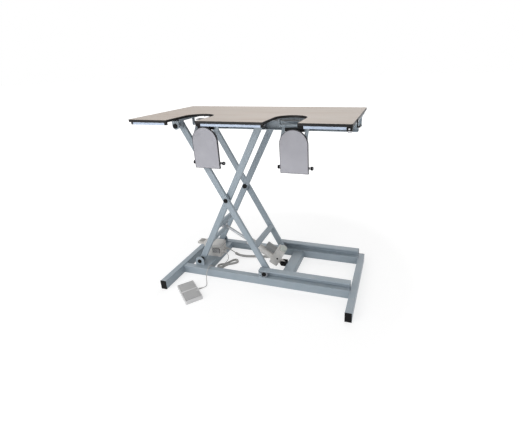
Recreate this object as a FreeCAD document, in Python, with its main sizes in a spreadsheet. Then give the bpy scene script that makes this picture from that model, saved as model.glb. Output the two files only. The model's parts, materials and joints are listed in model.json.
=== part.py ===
import FreeCAD, Part
import Sketcher
import math
import os
import re

# Height-adjustable ultrasound table: a scissor lift on an H base, a top with two
# tombstone cut-outs and a hinged flap for each, and a twin foot switch. Millimetres.
# X runs along the top, -Y is the side with the cut-outs, Z is up, the floor is Z = 0
# and the origin lies on the floor in the middle of the base rails. Drawn raised.

os.makedirs("parts", exist_ok=True)
doc = FreeCAD.newDocument("UltrasoundTable")
V = FreeCAD.Vector

sizes = {
    # scissor arms and their pins
    "arm_pitch": 1050, "raise_angle": 62.3, "fixed_in": 104,
    "arm_wide": 40, "arm_thick": 20, "arm_wall": 2.5, "arm_end": 16,
    "outer_face": 164, "arm_gap": 6, "pivot_dia": 20, "collar_dia": 32,
    "run_fit": 0.05, "side_gap": 0.4, "nut_thick": 8, "cap_dia": 27, "cap_thick": 8, "cap_bevel": 2.5,
    "outer_tube_at": 877, "outer_tube_dia": 40, "lower_tube_at": 152,
    "lower_tube_dia": 30, "upper_tube_at": 283, "upper_tube_dia": 36, "tube_wall": 2.5,
    "plug_lip": 3, "plug_fit": 0.1, "neck_dia": 12,
    # base
    "base_long": 1220, "foot_wide": 40, "foot_high": 60, "foot_wall": 2.5,
    "foot_front": 412, "foot_back": 228, "foot_lip": 3, "foot_tongue": 18,
    "corner": 4, "rail_face": 214, "rail_wide": 40, "rail_high": 54, "rail_wall": 2.5,
    "track_lead": 36, "track_high": 53, "track_wall": 4, "track_lip": 4,
    "slot_spare": 1, "slot_lead": 8, "roller_gap": 0.3, "roller_wide": 27, "roller_in": 5,
    "member_high": 50, "drive_member_in": 462, "drive_member_wide": 72,
    "left_member_out": 34, "left_member_wide": 100,
    "bracket_thick": 6, "bracket_wide": 64,
    # drive
    "drive_pin_out": 30, "drive_z": 48, "rod_pin_in": 121, "rod_pin_up": 211.5,
    "drive_pin_dia": 14, "head_dia": 24, "head_thick": 8, "tang_thick": 24,
    "tang_gap": 0.5, "clevis_plate": 6, "clevis_round": 17, "tang_round": 12,
    "gear_near": 24, "gear_far": 86, "gear_low": 34, "gear_top": 92, "gear_thick": 66,
    "gear_round": 9, "can_dia": 52, "can_up": 52, "can_long": 74,
    "barrel_dia": 52, "barrel_wall": 2.6, "barrel_long": 200,
    "rod_dia": 20, "rod_buried": 42, "rod_pin_dia": 14, "eye_dia": 32, "lug_round": 15,
    "cord_gland_at": 36, "cord_gland_dia": 18, "cord_gland_long": 8,
    # control box
    "box_in": 65, "box_long": 130, "box_deep": 90, "box_high": 74, "box_lid": 22,
    "tongue_long": 60, "tongue_deep": 54, "tongue_thick": 16, "tongue_low": 2,
    "box_round": 8, "socket_dia": 20, "socket_long": 10,
    # foot switch
    "pedal_x": -400.7, "pedal_y": -412.5, "pedal_turn": 40.7, "pedal_long": 195,
    "pedal_deep": 104, "pedal_plinth": 9, "pedal_wall": 6, "pedal_high": 24,
    "treadle_gap": 1.5, "treadle_thick": 9, "treadle_lift": 9, "trunnion_dia": 6,
    "trunnion_long": 2.4, "trunnion_gap": 0.3, "gland_dia": 10, "gland_long": 8,
    # top frame
    "board_thick": 13, "board_long": 1200, "board_deep": 628, "board_over": 152,
    "board_front": 409, "board_round": 16, "band_thick": 2,
    "cuts_in": 441, "cut_offset": 268, "cut_half": 86, "cut_deep": 253,
    "frame_thick": 25, "frame_wall": 2, "frame_wide": 60,
    "upper_face": 108, "upper_track_in": 71, "mid_tube_in": 406,
    "hanger_thick": 5, "hanger_wide": 42, "hanger_step": 5,
    "edge_rail_high": 13, "edge_rail_deep": 12, "edge_rail_wall": 1.6,
    "edge_cap": 12, "long_cap": 28, "edge_left": 20, "edge_right": 2, "edge_set": 3,
    "block_long": 26, "block_deep": 30, "block_high": 19, "knob_dia": 18, "knob_high": 8,
    "hook_y": -262, "hook_wide": 24, "hook_top": 2, "hook_drop": 38, "hook_thick": 4,
    "hook_reach": 16, "hook_tip": 14,
    # flaps
    "flap_face": 205, "flap_thick": 13, "flap_gap": 6, "flap_long": 240,
    "flap_below": 69.66, "bar_dia": 14, "knuckle_wall": 3.5, "bar_over": 14,
    "strap_wide": 20, "strap_thick": 4, "strap_in": 4, "strap_reach": 56.33,
    "tie_high": 18, "tie_deep": 10, "stop_dia": 14, "stop_drop": 226, "stop_over": 16,
    "stop_tip": 12, "stop_gap": 0.5,
}

derived = {
    "fixed_x": "foot_wide + fixed_in - base_long / 2",
    "left_member_x": "fixed_x - left_member_out",
    "box_x": "foot_wide + box_in - base_long / 2",
    "drive_member_x": "base_long / 2 - foot_wide - drive_member_in",
    "drive_x": "drive_member_x - drive_pin_out",
    "rod_pin_x": "fixed_x + rod_pin_in",
    "pivot_run": "arm_pitch * cos(raise_angle)",
    "pivot_rise": "arm_pitch * sin(raise_angle)",
    "roll_x": "fixed_x + pivot_run",
    "arm_low": "rail_high + track_high / 2",
    "arm_top": "arm_low + pivot_rise",
    "rod_pin_z": "arm_low + rod_pin_up",
    "mid_x": "fixed_x + pivot_run / 2",
    "mid_z": "arm_low + pivot_rise / 2",
    "plug_tongue": "arm_end - plug_lip - pivot_dia / 2 - 5 * plug_fit",
    "outer_back": "outer_face - arm_thick",
    "inner_face": "outer_back - arm_gap",
    "inner_back": "inner_face - arm_thick",
    "foot_long": "foot_front + foot_back",
    "rail_long": "base_long - 2 * foot_wide",
    "rail_back": "rail_face - rail_wide",
    "track_shut": "upper_face - rail_wide",
    "track_start": "roll_x - track_lead",
    "track_long": "base_long / 2 - foot_wide - track_start",
    "roller_dia": "track_high - 2 * track_wall - 2 * roller_gap",
    "frame_low": "arm_top + track_high / 2",
    "board_low": "frame_low + frame_thick",
    "top_high": "board_low + board_thick",
    "board_left": "fixed_x - board_over",
    "board_right": "board_left + board_long",
    "upper_track_x": "fixed_x + upper_track_in",
    "mid_tube_x": "fixed_x + mid_tube_in",
    "cuts_mid": "fixed_x + cuts_in",
    "cut_mid": "cut_deep - cut_half - board_front",
    "end_tube_x": "base_long / 2 - foot_wide - frame_wide",
    "drive_angle": "atan((rod_pin_z - drive_z) / (drive_x - rod_pin_x))",
    "drive_span": "sqrt((rod_pin_z - drive_z)^2 + (drive_x - rod_pin_x)^2)",
    "barrel_end": "gear_far + barrel_long",
    "flap_half": "cut_half - flap_gap",
    "flap_top": "top_high - flap_below",
    "axis_y": "(cut_deep - board_front - flap_gap - flap_top + top_high - flap_face) / 2",
    "axis_z": "top_high - axis_y - flap_face",
    "knuckle_dia": "bar_dia + 2 * run_fit + 2 * knuckle_wall",
    "strap_bend": "axis_z - strap_reach",
    "strap_back": "flap_face - flap_thick - strap_thick",
    "stop_y": "stop_dia / 2 - strap_back",
    "stop_z": "axis_z - stop_drop",
    "tip_dia": "2 * (board_low - stop_gap - axis_z + stop_y - axis_y)",
}


def cells(text):
    """Point every alias in an expression at its cell in the sheet."""
    return re.sub(r"[a-z_][a-z_0-9]*(?![a-z_0-9(])", lambda found: "Sizes." + found.group(0), str(text))


sheet = doc.addObject("Spreadsheet::Sheet", "Sizes")
for row, (name, value) in enumerate(sizes.items(), 1):
    sheet.set(f"A{row}", name)
    sheet.set(f"B{row}", str(value))
    sheet.setAlias(f"B{row}", name)
for row, (name, formula) in enumerate(derived.items(), len(sizes) + 2):
    sheet.set(f"A{row}", name)
    sheet.set(f"B{row}", "=" + formula)
    sheet.setAlias(f"B{row}", name)
doc.recompute()

nodes = []


def number(text):
    """The value of an expression in millimetres or degrees."""
    value = sheet.evalExpression(cells(text))
    return float(getattr(value, "Value", value))


def bind(thing, **expressions):
    for name, text in expressions.items():
        thing.setExpression(name.replace("_at_", "Placement.Base."), cells(text))


def at(thing, x="0", y="0", z="0"):
    bind(thing, _at_x=x, _at_y=y, _at_z=z)
    return thing


def node(thing, label):
    thing.Label = label
    nodes.append(thing)
    return thing


# Simple solids, each size bound to the sheet


def box(x, y, z, long, deep, high):
    made = doc.addObject("Part::Box", "Block")
    bind(made, Length=long, Width=deep, Height=high)
    return at(made, x, y, z)


def cylinder(x, y, z, dia, long, axis="Y"):
    """A cylinder from its first end, running towards + on its axis."""
    made = doc.addObject("Part::Cylinder", "Round")
    turns = {"X": (V(0, 1, 0), 90), "Y": (V(1, 0, 0), -90), "Z": (V(0, 0, 1), 0)}
    made.Placement.Rotation = FreeCAD.Rotation(*turns[axis])
    bind(made, Radius=f"({dia}) / 2", Height=long)
    return at(made, x, y, z)


def fuse(*shapes):
    made = doc.addObject("Part::MultiFuse", "Joined")
    made.Shapes = list(shapes)
    made.Refine = True
    return made


def cut(base, *tools):
    made = doc.addObject("Part::Cut", "Trimmed")
    made.Base = base
    made.Tool = tools[0] if len(tools) == 1 else fuse(*tools)
    return made


def group(*solids):
    made = doc.addObject("Part::Compound", "Set")
    made.Links = list(solids)
    return made


# PartDesign bodies


def new_body(label):
    body = doc.addObject("PartDesign::Body", "Body")
    body.Label = label
    return body


def sketch_on(body, role, offset="0"):
    """A sketch on one of the body's own planes: XY, XZ (pads towards -Y) or YZ."""
    sketch = body.newObject("Sketcher::SketchObject", "Sketch")
    plane = next(item for item in body.Origin.OriginFeatures if item.Role == role + "_Plane")
    sketch.AttachmentSupport = [(plane, "")]
    sketch.MapMode = "FlatFace"
    sketch.setExpression("AttachmentOffset.Base.z", cells(offset))
    return sketch


def hold(sketch, kind, *where, text):
    """Add one sized constraint and bind it to the sheet."""
    index = sketch.addConstraint(Sketcher.Constraint(kind, *where, number(text)))
    sketch.setExpression(f"Constraints[{index}]", cells(text))


def rectangle(sketch, left, low, wide, high):
    x, y, w, h = (number(text) for text in (left, low, wide, high))
    corners = [V(x, y), V(x + w, y), V(x + w, y + h), V(x, y + h)]
    first = sketch.GeometryCount
    for i in range(4):
        sketch.addGeometry(Part.LineSegment(corners[i], corners[(i + 1) % 4]))
    for i in range(4):
        sketch.addConstraint(Sketcher.Constraint("Coincident", first + i, 2, first + (i + 1) % 4, 1))
        sketch.addConstraint(Sketcher.Constraint("Vertical" if i % 2 else "Horizontal", first + i))
    hold(sketch, "DistanceX", -1, 1, first, 1, text=left)
    hold(sketch, "DistanceY", -1, 1, first, 1, text=low)
    hold(sketch, "DistanceX", first, 1, first, 2, text=wide)
    hold(sketch, "DistanceY", first + 1, 1, first + 1, 2, text=high)


def circle(sketch, x, y, dia):
    index = sketch.addGeometry(Part.Circle(V(number(x), number(y)), V(0, 0, 1), number(dia) / 2))
    hold(sketch, "DistanceX", -1, 1, index, 3, text=x)
    hold(sketch, "DistanceY", -1, 1, index, 3, text=y)
    hold(sketch, "Diameter", index, text=dia)


def tombstone(sketch, mid, base, half, centre):
    """A straight-sided arch from base to centre, closed by a half circle beyond centre."""
    x, y, r, c = (number(text) for text in (mid, base, half, centre))
    side = 1 if c > y else -1
    first = sketch.GeometryCount
    sketch.addGeometry(Part.LineSegment(V(x - r, y), V(x + r, y)))
    sketch.addGeometry(Part.LineSegment(V(x + r, y), V(x + r, c)))
    sweep = (0, math.pi) if side > 0 else (math.pi, 2 * math.pi)
    sketch.addGeometry(Part.ArcOfCircle(Part.Circle(V(x, c), V(0, 0, 1), r), *sweep))
    sketch.addGeometry(Part.LineSegment(V(x - r, c), V(x - r, y)))
    right, left = (1, 2) if side > 0 else (2, 1)
    for ends in ((first, 2, first + 1, 1), (first + 1, 2, first + 2, right),
                 (first + 2, left, first + 3, 1), (first + 3, 2, first, 1)):
        sketch.addConstraint(Sketcher.Constraint("Coincident", *ends))
    sketch.addConstraint(Sketcher.Constraint("Horizontal", first))
    sketch.addConstraint(Sketcher.Constraint("Vertical", first + 1))
    sketch.addConstraint(Sketcher.Constraint("Vertical", first + 3))
    hold(sketch, "DistanceX", -1, 1, first + 2, 3, text=mid)
    hold(sketch, "DistanceY", -1, 1, first + 2, 3, text=centre)
    hold(sketch, "DistanceY", -1, 1, first, 1, text=base)
    hold(sketch, "Radius", first + 2, text=half)
    for end in (1, 2):
        sketch.addConstraint(Sketcher.Constraint("Horizontal", first + 2, end, first + 2, 3))


def pad(body, sketch, long, backwards=False, middle=False):
    made = body.newObject("PartDesign::Pad", "Pad")
    made.Profile = sketch
    made.Reversed = backwards
    made.Midplane = middle
    bind(made, Length=long)
    doc.recompute()
    return made


def pocket(body, sketch):
    """Cut the sketch right through, both ways."""
    made = body.newObject("PartDesign::Pocket", "Pocket")
    made.Profile = sketch
    made.Type = "ThroughAll"
    made.Midplane = True
    before = body.Shape.Volume if body.Shape.Solids else 0
    doc.recompute()
    if made.Shape.Volume >= before:
        raise ValueError(body.Label + ": a pocket removed nothing")
    return made


def round_long(body, feature, axis, radius):
    """Round the edges of a feature that run along one axis."""
    direction = {"X": V(1, 0, 0), "Y": V(0, 1, 0), "Z": V(0, 0, 1)}[axis]
    names = [f"Edge{i}" for i, edge in enumerate(feature.Shape.Edges, 1)
             if isinstance(edge.Curve, Part.Line) and abs(edge.tangentAt(0).dot(direction)) > 0.99]
    made = body.newObject("PartDesign::Fillet", "Fillet")
    made.Base = (feature, names)
    bind(made, Radius=radius)
    doc.recompute()
    return made


def tube_body(label, axis, wide, high, wall, long, rounding="corner"):
    """A rectangular steel tube along X or Y, its section's low corner on the axis."""
    body = new_body(label)
    role = {"X": "YZ", "Y": "XZ"}[axis]
    outer = sketch_on(body, role)
    rectangle(outer, "0", "0", wide, high)
    bar = pad(body, outer, long, backwards=(axis == "Y"))
    round_long(body, bar, axis, rounding)
    inner = sketch_on(body, role)
    rectangle(inner, wall, wall, f"{wide} - 2 * {wall}", f"{high} - 2 * {wall}")
    pocket(body, inner)
    return body


# Base


def foot(label, x):
    tube = tube_body(label, "Y", "foot_wide", "foot_high", "foot_wall", "foot_long - 2 * foot_lip")
    return node(at(tube, x, "foot_lip - foot_front"), label)


def foot_caps():
    """Four plugs: a lip the size of the tube and a tongue inside it."""
    inset = "foot_wall + plug_fit"
    solids = []
    for x in ("-base_long / 2", "base_long / 2 - foot_wide"):
        for lip, tongue in (("-foot_front", "foot_lip - foot_front"),
                            ("foot_back - foot_lip", "foot_back - foot_lip - foot_tongue")):
            face = box(x, lip, "0", "foot_wide", "foot_lip", "foot_high")
            stem = box(f"{x} + {inset}", tongue, inset, f"foot_wide - 2 * ({inset})",
                       "foot_tongue", f"foot_high - 2 * ({inset})")
            solids.append(fuse(face, stem))
    node(group(*solids), "foot_end_caps")


def side_rail(label, y):
    tube = tube_body(label, "X", "rail_wide", "rail_high", "rail_wall", "rail_long")
    node(at(tube, "-rail_long / 2", y), label)


def channel(label, long, mouth_near, lip, slotted):
    """A C track along X whose mouth, on the near or far side, has a lip above it."""
    body = new_body(label)
    outline = sketch_on(body, "YZ")
    rectangle(outline, "0", "0", "rail_wide", "track_high")
    pad(body, outline, long)
    hollow = sketch_on(body, "YZ")
    rectangle(hollow, "track_wall", "track_wall", "rail_wide - 2 * track_wall",
              "track_high - 2 * track_wall")
    pocket(body, hollow)
    mouth = sketch_on(body, "YZ")
    left = "0 - track_wall" if mouth_near else "rail_wide - track_wall"
    rectangle(mouth, left, "track_wall", "2 * track_wall", f"track_high - 2 * track_wall - {lip}")
    pocket(body, mouth)
    if slotted:
        slot = sketch_on(body, "XZ")
        start = "track_lead - neck_dia / 2 - slot_lead"
        rectangle(slot, start, "track_high / 2 - neck_dia / 2 - slot_spare",
                  f"{long} - ({start}) - 4 * slot_lead", "neck_dia + 2 * slot_spare")
        pocket(body, slot)
    return body


def cross_member(label, x, wide):
    tube = tube_body(label, "Y", wide, "member_high", "rail_wall", "2 * rail_back")
    node(at(tube, x, "-rail_back"), label)


def fixed_brackets():
    """Two upright plates on the left cross member, against the rails."""
    solids = []
    for y in ("-rail_back + bracket_thick", "rail_back"):
        plate = new_body("Bracket")
        outline = sketch_on(plate, "XZ")
        tombstone(outline, "fixed_x", "member_high", "bracket_wide / 2", "arm_low")
        circle(outline, "fixed_x", "arm_low", "pivot_dia")
        pad(plate, outline, "bracket_thick")
        solids.append(at(plate, y=y))
    node(group(*solids), "fixed_pivot_brackets")


def y_span(near, far, front):
    """Start of a Y run given by its distances from the middle, on either side."""
    return f"-({far})" if front else near


def pin_along_y(x, z, steps, front):
    """A stepped pin: each step is (near, far, dia) by distance from the middle."""
    return fuse(*[cylinder(x, y_span(near, far, front), z, dia, f"({far}) - ({near})")
                  for near, far, dia in steps])


def base_pins():
    """The two arm pivot bolts and the drive's clevis pin."""
    steps = [("inner_back - side_gap - nut_thick", "rail_back", "pivot_dia"),
             ("inner_face + side_gap", "rail_back - bracket_thick", "collar_dia"),
             ("inner_back - side_gap - nut_thick", "inner_back - side_gap", "collar_dia")]
    bolts = [pin_along_y("fixed_x", "arm_low", steps, front) for front in (True, False)]
    node(group(*bolts, headed_pin("drive_x", "drive_z", "drive_pin_dia")), "base_pins")


def round_cap(x, z, face, front):
    """A domed plastic cap over a pin end."""
    disc = cylinder(x, y_span(face, f"{face} + cap_thick", front), z, "cap_dia", "cap_thick")
    made = doc.addObject("Part::Chamfer", "Cap")
    made.Base = disc
    doc.recompute()
    bevel = number("cap_bevel")
    made.Edges = [(i, bevel, bevel) for i, edge in enumerate(disc.Shape.Edges, 1)
                  if isinstance(edge.Curve, Part.Circle)
                  and abs(abs(edge.Curve.Center.y) - number(f"{face} + cap_thick")) < 0.01]
    return made


def drive_clevis():
    """Two eye plates on the left face of the drive cross member."""
    reach = "drive_member_x - drive_x"
    solids = []
    for front in (True, False):
        near = "tang_thick / 2 + tang_gap"
        y = y_span(near, f"{near} + clevis_plate", front)
        arm = box("drive_x", y, "drive_z - clevis_round", reach, "clevis_plate", "2 * clevis_round")
        eye = cylinder("drive_x", y, "drive_z", "2 * clevis_round", "clevis_plate")
        bore = cylinder("drive_x", y, "drive_z", "drive_pin_dia", "clevis_plate")
        solids.append(cut(fuse(arm, eye), bore))
    node(group(*solids), "drive_clevis")


def headed_pin(x, z, dia):
    """A clevis pin with a round head outside each plate."""
    half = "tang_thick / 2 + tang_gap + clevis_plate"
    shank = cylinder(x, f"-({half})", z, dia, f"2 * ({half})")
    heads = [cylinder(x, y_span(half, f"{half} + head_thick", front), z, "head_dia", "head_thick")
             for front in (True, False)]
    return fuse(shank, *heads)


def control_box():
    base = new_body("Control case")
    plan = sketch_on(base, "XY")
    rectangle(plan, "0", "0", "box_long", "box_deep")
    block = pad(base, plan, "box_high")
    round_long(base, block, "Z", "box_round")
    at(base, "box_x", "-box_deep / 2", "member_high")
    sockets = [cylinder("box_x + box_long", y, "member_high + box_high / 2", "socket_dia",
                        "socket_long", "X") for y in ("-box_deep / 4", "box_deep / 4")]
    node(group(base, *sockets), "control_box")
    lid = new_body("control_box_lid")
    plan = sketch_on(lid, "XY")
    rectangle(plan, "0", "0", "box_long", "box_deep")
    block = pad(lid, plan, "box_lid")
    rounded = round_long(lid, block, "Z", "box_round")
    rim = [f"Edge{i}" for i, edge in enumerate(rounded.Shape.Edges, 1)
           if edge.BoundBox.ZMin > number("box_lid") - 0.01]
    soft = lid.newObject("PartDesign::Fillet", "Fillet")
    soft.Base = (rounded, rim)
    bind(soft, Radius="box_round / 2")
    tongue = sketch_on(lid, "XY", "tongue_low")
    rectangle(tongue, "-tongue_long", "(box_deep - tongue_deep) / 2", "tongue_long + box_round",
              "tongue_deep")
    pad(lid, tongue, "tongue_thick")
    node(at(lid, "box_x", "-box_deep / 2", "member_high + box_high"), "control_box_lid")


# Scissor frames


def arm(label, front, outer):
    """One tube of a scissor frame, from its left pivot to its right pivot."""
    body = new_body(label)
    section = sketch_on(body, "YZ")
    rectangle(section, "0", "-arm_wide / 2", "arm_thick", "arm_wide")
    bar = pad(body, section, "arm_pitch + 2 * arm_end - 2 * plug_lip")
    round_long(body, bar, "X", "corner")
    hollow = sketch_on(body, "YZ")
    rectangle(hollow, "arm_wall", "arm_wall - arm_wide / 2", "arm_thick - 2 * arm_wall",
              "arm_wide - 2 * arm_wall")
    pocket(body, hollow)
    bores = sketch_on(body, "XZ")
    first = "arm_end - plug_lip"
    fit = "pivot_dia + 2 * run_fit"
    left, middle, right = (fit, "pivot_dia", "pivot_dia") if outer else (fit, fit, "pivot_dia")
    circle(bores, first, "0", left)
    circle(bores, f"{first} + arm_pitch / 2", "0", middle)
    circle(bores, f"{first} + arm_pitch", "0", right)
    pocket(body, bores)
    body.Placement.Rotation = FreeCAD.Rotation(V(0, 1 if outer else -1, 0), 1)
    body.setExpression("Placement.Rotation.Angle", cells("raise_angle"))
    face = "outer_face" if outer else "inner_face"
    start, sign = ("arm_top", "+") if outer else ("arm_low", "-")
    at(body, f"fixed_x - ({first}) * cos(raise_angle)",
       y_span(f"{face} - arm_thick", face, front),
       f"{start} {sign} ({first}) * sin(raise_angle)")
    return node(body, label)


def arm_plugs(label, outer):
    """Flush plugs in the four tube ends of one frame."""
    face = "outer_face" if outer else "inner_face"
    start, sign = ("arm_top", "-") if outer else ("arm_low", "+")
    inset = "arm_wall + plug_fit"
    solids = []
    for front in (True, False):
        far = "arm_pitch + arm_end - plug_lip"
        for lip, tongue in (("-arm_end", "plug_lip - arm_end"), (far, far + " - plug_tongue")):
            y = y_span(f"{face} - arm_thick", face, front)
            cover = box(lip, y, "-arm_wide / 2", "plug_lip", "arm_thick", "arm_wide")
            stem = box(tongue, f"{y} + {inset}", f"{inset} - arm_wide / 2", "plug_tongue",
                       f"arm_thick - 2 * ({inset})", f"arm_wide - 2 * ({inset})")
            solids.append(fuse(cover, stem))
    made = group(*solids)
    made.Placement.Rotation = FreeCAD.Rotation(V(0, 1 if outer else -1, 0), 1)
    made.setExpression("Placement.Rotation.Angle", cells("raise_angle"))
    node(at(made, "fixed_x", "0", start), label)


def cross_tube(distance, dia, reach, outer):
    """A round tube between the two arms of a frame, a distance along them."""
    x = f"fixed_x + {distance} * cos(raise_angle)"
    z = (f"arm_top - {distance} * sin(raise_angle)" if outer
         else f"arm_low + {distance} * sin(raise_angle)")
    rim = cylinder(x, f"-{reach}", z, dia, f"2 * {reach}")
    hole = cylinder(x, f"-{reach}", z, f"{dia} - 2 * tube_wall", f"2 * {reach}")
    return cut(rim, hole)


def outer_frame():
    arm("outer_front_arm", True, True)
    arm("outer_rear_arm", False, True)
    node(cross_tube("outer_tube_at", "outer_tube_dia", "outer_back", True), "outer_cross_tube")
    arm_plugs("outer_arm_plugs", True)
    centre = [("inner_back - side_gap - nut_thick", "outer_face", "pivot_dia"),
              ("inner_face + side_gap", "outer_back", "collar_dia"),
              ("inner_back - side_gap - nut_thick", "inner_back - side_gap", "collar_dia")]
    axle_end = "rail_face - roller_in + side_gap"
    neck = "rail_back + track_wall + side_gap"
    axle = [("outer_back", "outer_face", "pivot_dia"),
            ("outer_face", "rail_back - side_gap", "collar_dia"),
            ("rail_back - side_gap", neck, "neck_dia"),
            (neck, axle_end, "pivot_dia")]
    pins = []
    caps = [round_cap("roll_x", "arm_low", axle_end, True)]
    for front in (True, False):
        pins.append(pin_along_y("mid_x", "mid_z", centre, front))
        pins.append(pin_along_y("roll_x", "arm_low", axle, front))
        caps.append(round_cap("mid_x", "mid_z", "outer_face", front))
    node(group(*pins), "outer_frame_pins")
    node(group(*caps), "outer_frame_caps")


def roller(label, x, z, near, far, front):
    """A track roller with a bore that runs on its axle."""
    rim = cylinder(x, y_span(near, far, front), z, "roller_dia", f"({far}) - ({near})")
    bore = cylinder(x, y_span(near, far, front), z, "pivot_dia + 2 * run_fit", f"({far}) - ({near})")
    node(cut(rim, bore), label)


def rod_lug():
    """Two plates under the upper cross tube that carry the rod pin."""
    top = V(number("fixed_x + upper_tube_at * cos(raise_angle)"), 0,
            number("arm_low + upper_tube_at * sin(raise_angle)"))
    low = V(number("rod_pin_x"), 0, number("rod_pin_z"))
    across = V(0, 1, 0).cross(low - top).normalize() * number("lug_round")
    along = (low - top).normalize() * number("lug_round")
    outline = Part.Wire([Part.LineSegment(top + across, low + across).toShape(),
                         Part.Arc(low + across, low + along, low - across).toShape(),
                         Part.LineSegment(low - across, top - across).toShape(),
                         Part.Arc(top - across, top - along, top + across).toShape()])
    near = number("tang_thick / 2 + tang_gap")
    thick = number("clevis_plate")
    solids = []
    for y in (near, -near - thick):
        plate = Part.Face(outline).extrude(V(0, thick, 0))
        plate.translate(V(0, y, 0))
        tube = Part.makeCylinder(number("upper_tube_dia / 2"), thick, V(top.x, y, top.z), V(0, 1, 0))
        bore = Part.makeCylinder(number("rod_pin_dia / 2"), thick, V(low.x, y, low.z), V(0, 1, 0))
        solids.append(plate.cut(tube).cut(bore))
    made = doc.addObject("Part::Feature", "Lug")
    made.Shape = Part.makeCompound(solids)
    node(made, "rod_lug")


def inner_frame():
    arm("inner_front_arm", True, False)
    arm("inner_rear_arm", False, False)
    node(group(cross_tube("lower_tube_at", "lower_tube_dia", "inner_back", False),
               cross_tube("upper_tube_at", "upper_tube_dia", "inner_back", False)), "inner_cross_tubes")
    arm_plugs("inner_arm_plugs", False)
    rod_lug()
    axle = [("track_shut + track_wall + side_gap", "inner_face", "pivot_dia"),
            ("upper_face - roller_in + side_gap", "inner_back", "collar_dia")]
    axles = [pin_along_y("roll_x", "arm_top", axle, front) for front in (True, False)]
    node(group(*axles, headed_pin("rod_pin_x", "rod_pin_z", "rod_pin_dia")), "inner_frame_pins")


# Linear drive, drawn along its own X axis with the rear pin at its origin


def aim(thing, x, z):
    """Turn a piece drawn along -X so that it points up at the rod pin."""
    thing.Placement.Rotation = FreeCAD.Rotation(V(0, 1, 0), 1)
    thing.setExpression("Placement.Rotation.Angle", cells("drive_angle"))
    return at(thing, x, "0", z)


def drive_housing():
    gear = new_body("drive_gearbox")
    side = sketch_on(gear, "XZ")
    rectangle(side, "-gear_far", "-gear_low", "gear_far - gear_near", "gear_low + gear_top")
    block = pad(gear, side, "gear_thick", middle=True)
    round_long(gear, block, "Y", "gear_round")
    tang = sketch_on(gear, "XZ")
    rectangle(tang, "-gear_near - 1", "-tang_round", "gear_near + 1", "2 * tang_round")
    pad(gear, tang, "tang_thick", middle=True)
    eye = sketch_on(gear, "XZ")
    circle(eye, "0", "0", "2 * tang_round")
    pad(gear, eye, "tang_thick", middle=True)
    bore = sketch_on(gear, "XZ")
    circle(bore, "0", "0", "drive_pin_dia + 2 * run_fit")
    pocket(gear, bore)
    gland = sketch_on(gear, "XZ", "-gear_thick / 2 - cord_gland_long")
    circle(gland, "-cord_gland_at", "0", "cord_gland_dia")
    pad(gear, gland, "cord_gland_long")
    node(aim(gear, "drive_x", "drive_z"), "drive_gearbox")
    can = cylinder("-gear_far - can_long", "0", "can_up", "can_dia", "can_long", "X")
    node(aim(group(can), "drive_x", "drive_z"), "drive_motor")
    rim = cylinder("-barrel_end", "0", "0", "barrel_dia", "barrel_long", "X")
    hole = cylinder("-barrel_end", "0", "0", "barrel_dia - 2 * barrel_wall", "barrel_long", "X")
    node(aim(group(cut(rim, hole)), "drive_x", "drive_z"), "drive_barrel")


def drive_rod():
    """The piston rod with its eye, from inside the barrel to the rod pin."""
    rod = cylinder("-drive_span + eye_dia / 2 - 2", "0", "0", "rod_dia",
                   "drive_span - eye_dia / 2 + 2 - barrel_end + rod_buried", "X")
    eye = cylinder("-drive_span", "-tang_thick / 2", "0", "eye_dia", "tang_thick")
    bore = cylinder("-drive_span", "-tang_thick / 2", "0", "rod_pin_dia + 2 * run_fit", "tang_thick")
    node(aim(group(cut(fuse(rod, eye), bore)), "drive_x", "drive_z"), "piston_rod")


# Top


def board_blank(label, grow, low, thick):
    """The board's plan with both cut-outs; grow widens it by the edge band."""
    body = new_body(label)
    plan = sketch_on(body, "XY")
    rectangle(plan, f"board_left + band_thick - {grow}", f"band_thick - board_front - {grow}",
              f"board_long - 2 * band_thick + 2 * {grow}", f"board_deep - 2 * band_thick + 2 * {grow}")
    slab = pad(body, plan, thick)
    round_long(body, slab, "Z", f"board_round - band_thick + {grow}")
    for side in ("-", "+"):
        window = sketch_on(body, "XY")
        tombstone(window, f"cuts_mid {side} cut_offset", "-board_front - 10",
                  f"cut_half + band_thick - {grow}", "cut_mid")
        pocket(body, window)
    return at(body, z=low)


def board():
    slab = node(board_blank("tabletop_board", "0", "board_low", "board_thick"), "tabletop_board")
    whole = board_blank("Band outline", "band_thick", "board_low", "board_thick")
    node(cut(whole, slab), "board_edge_band")


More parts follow.
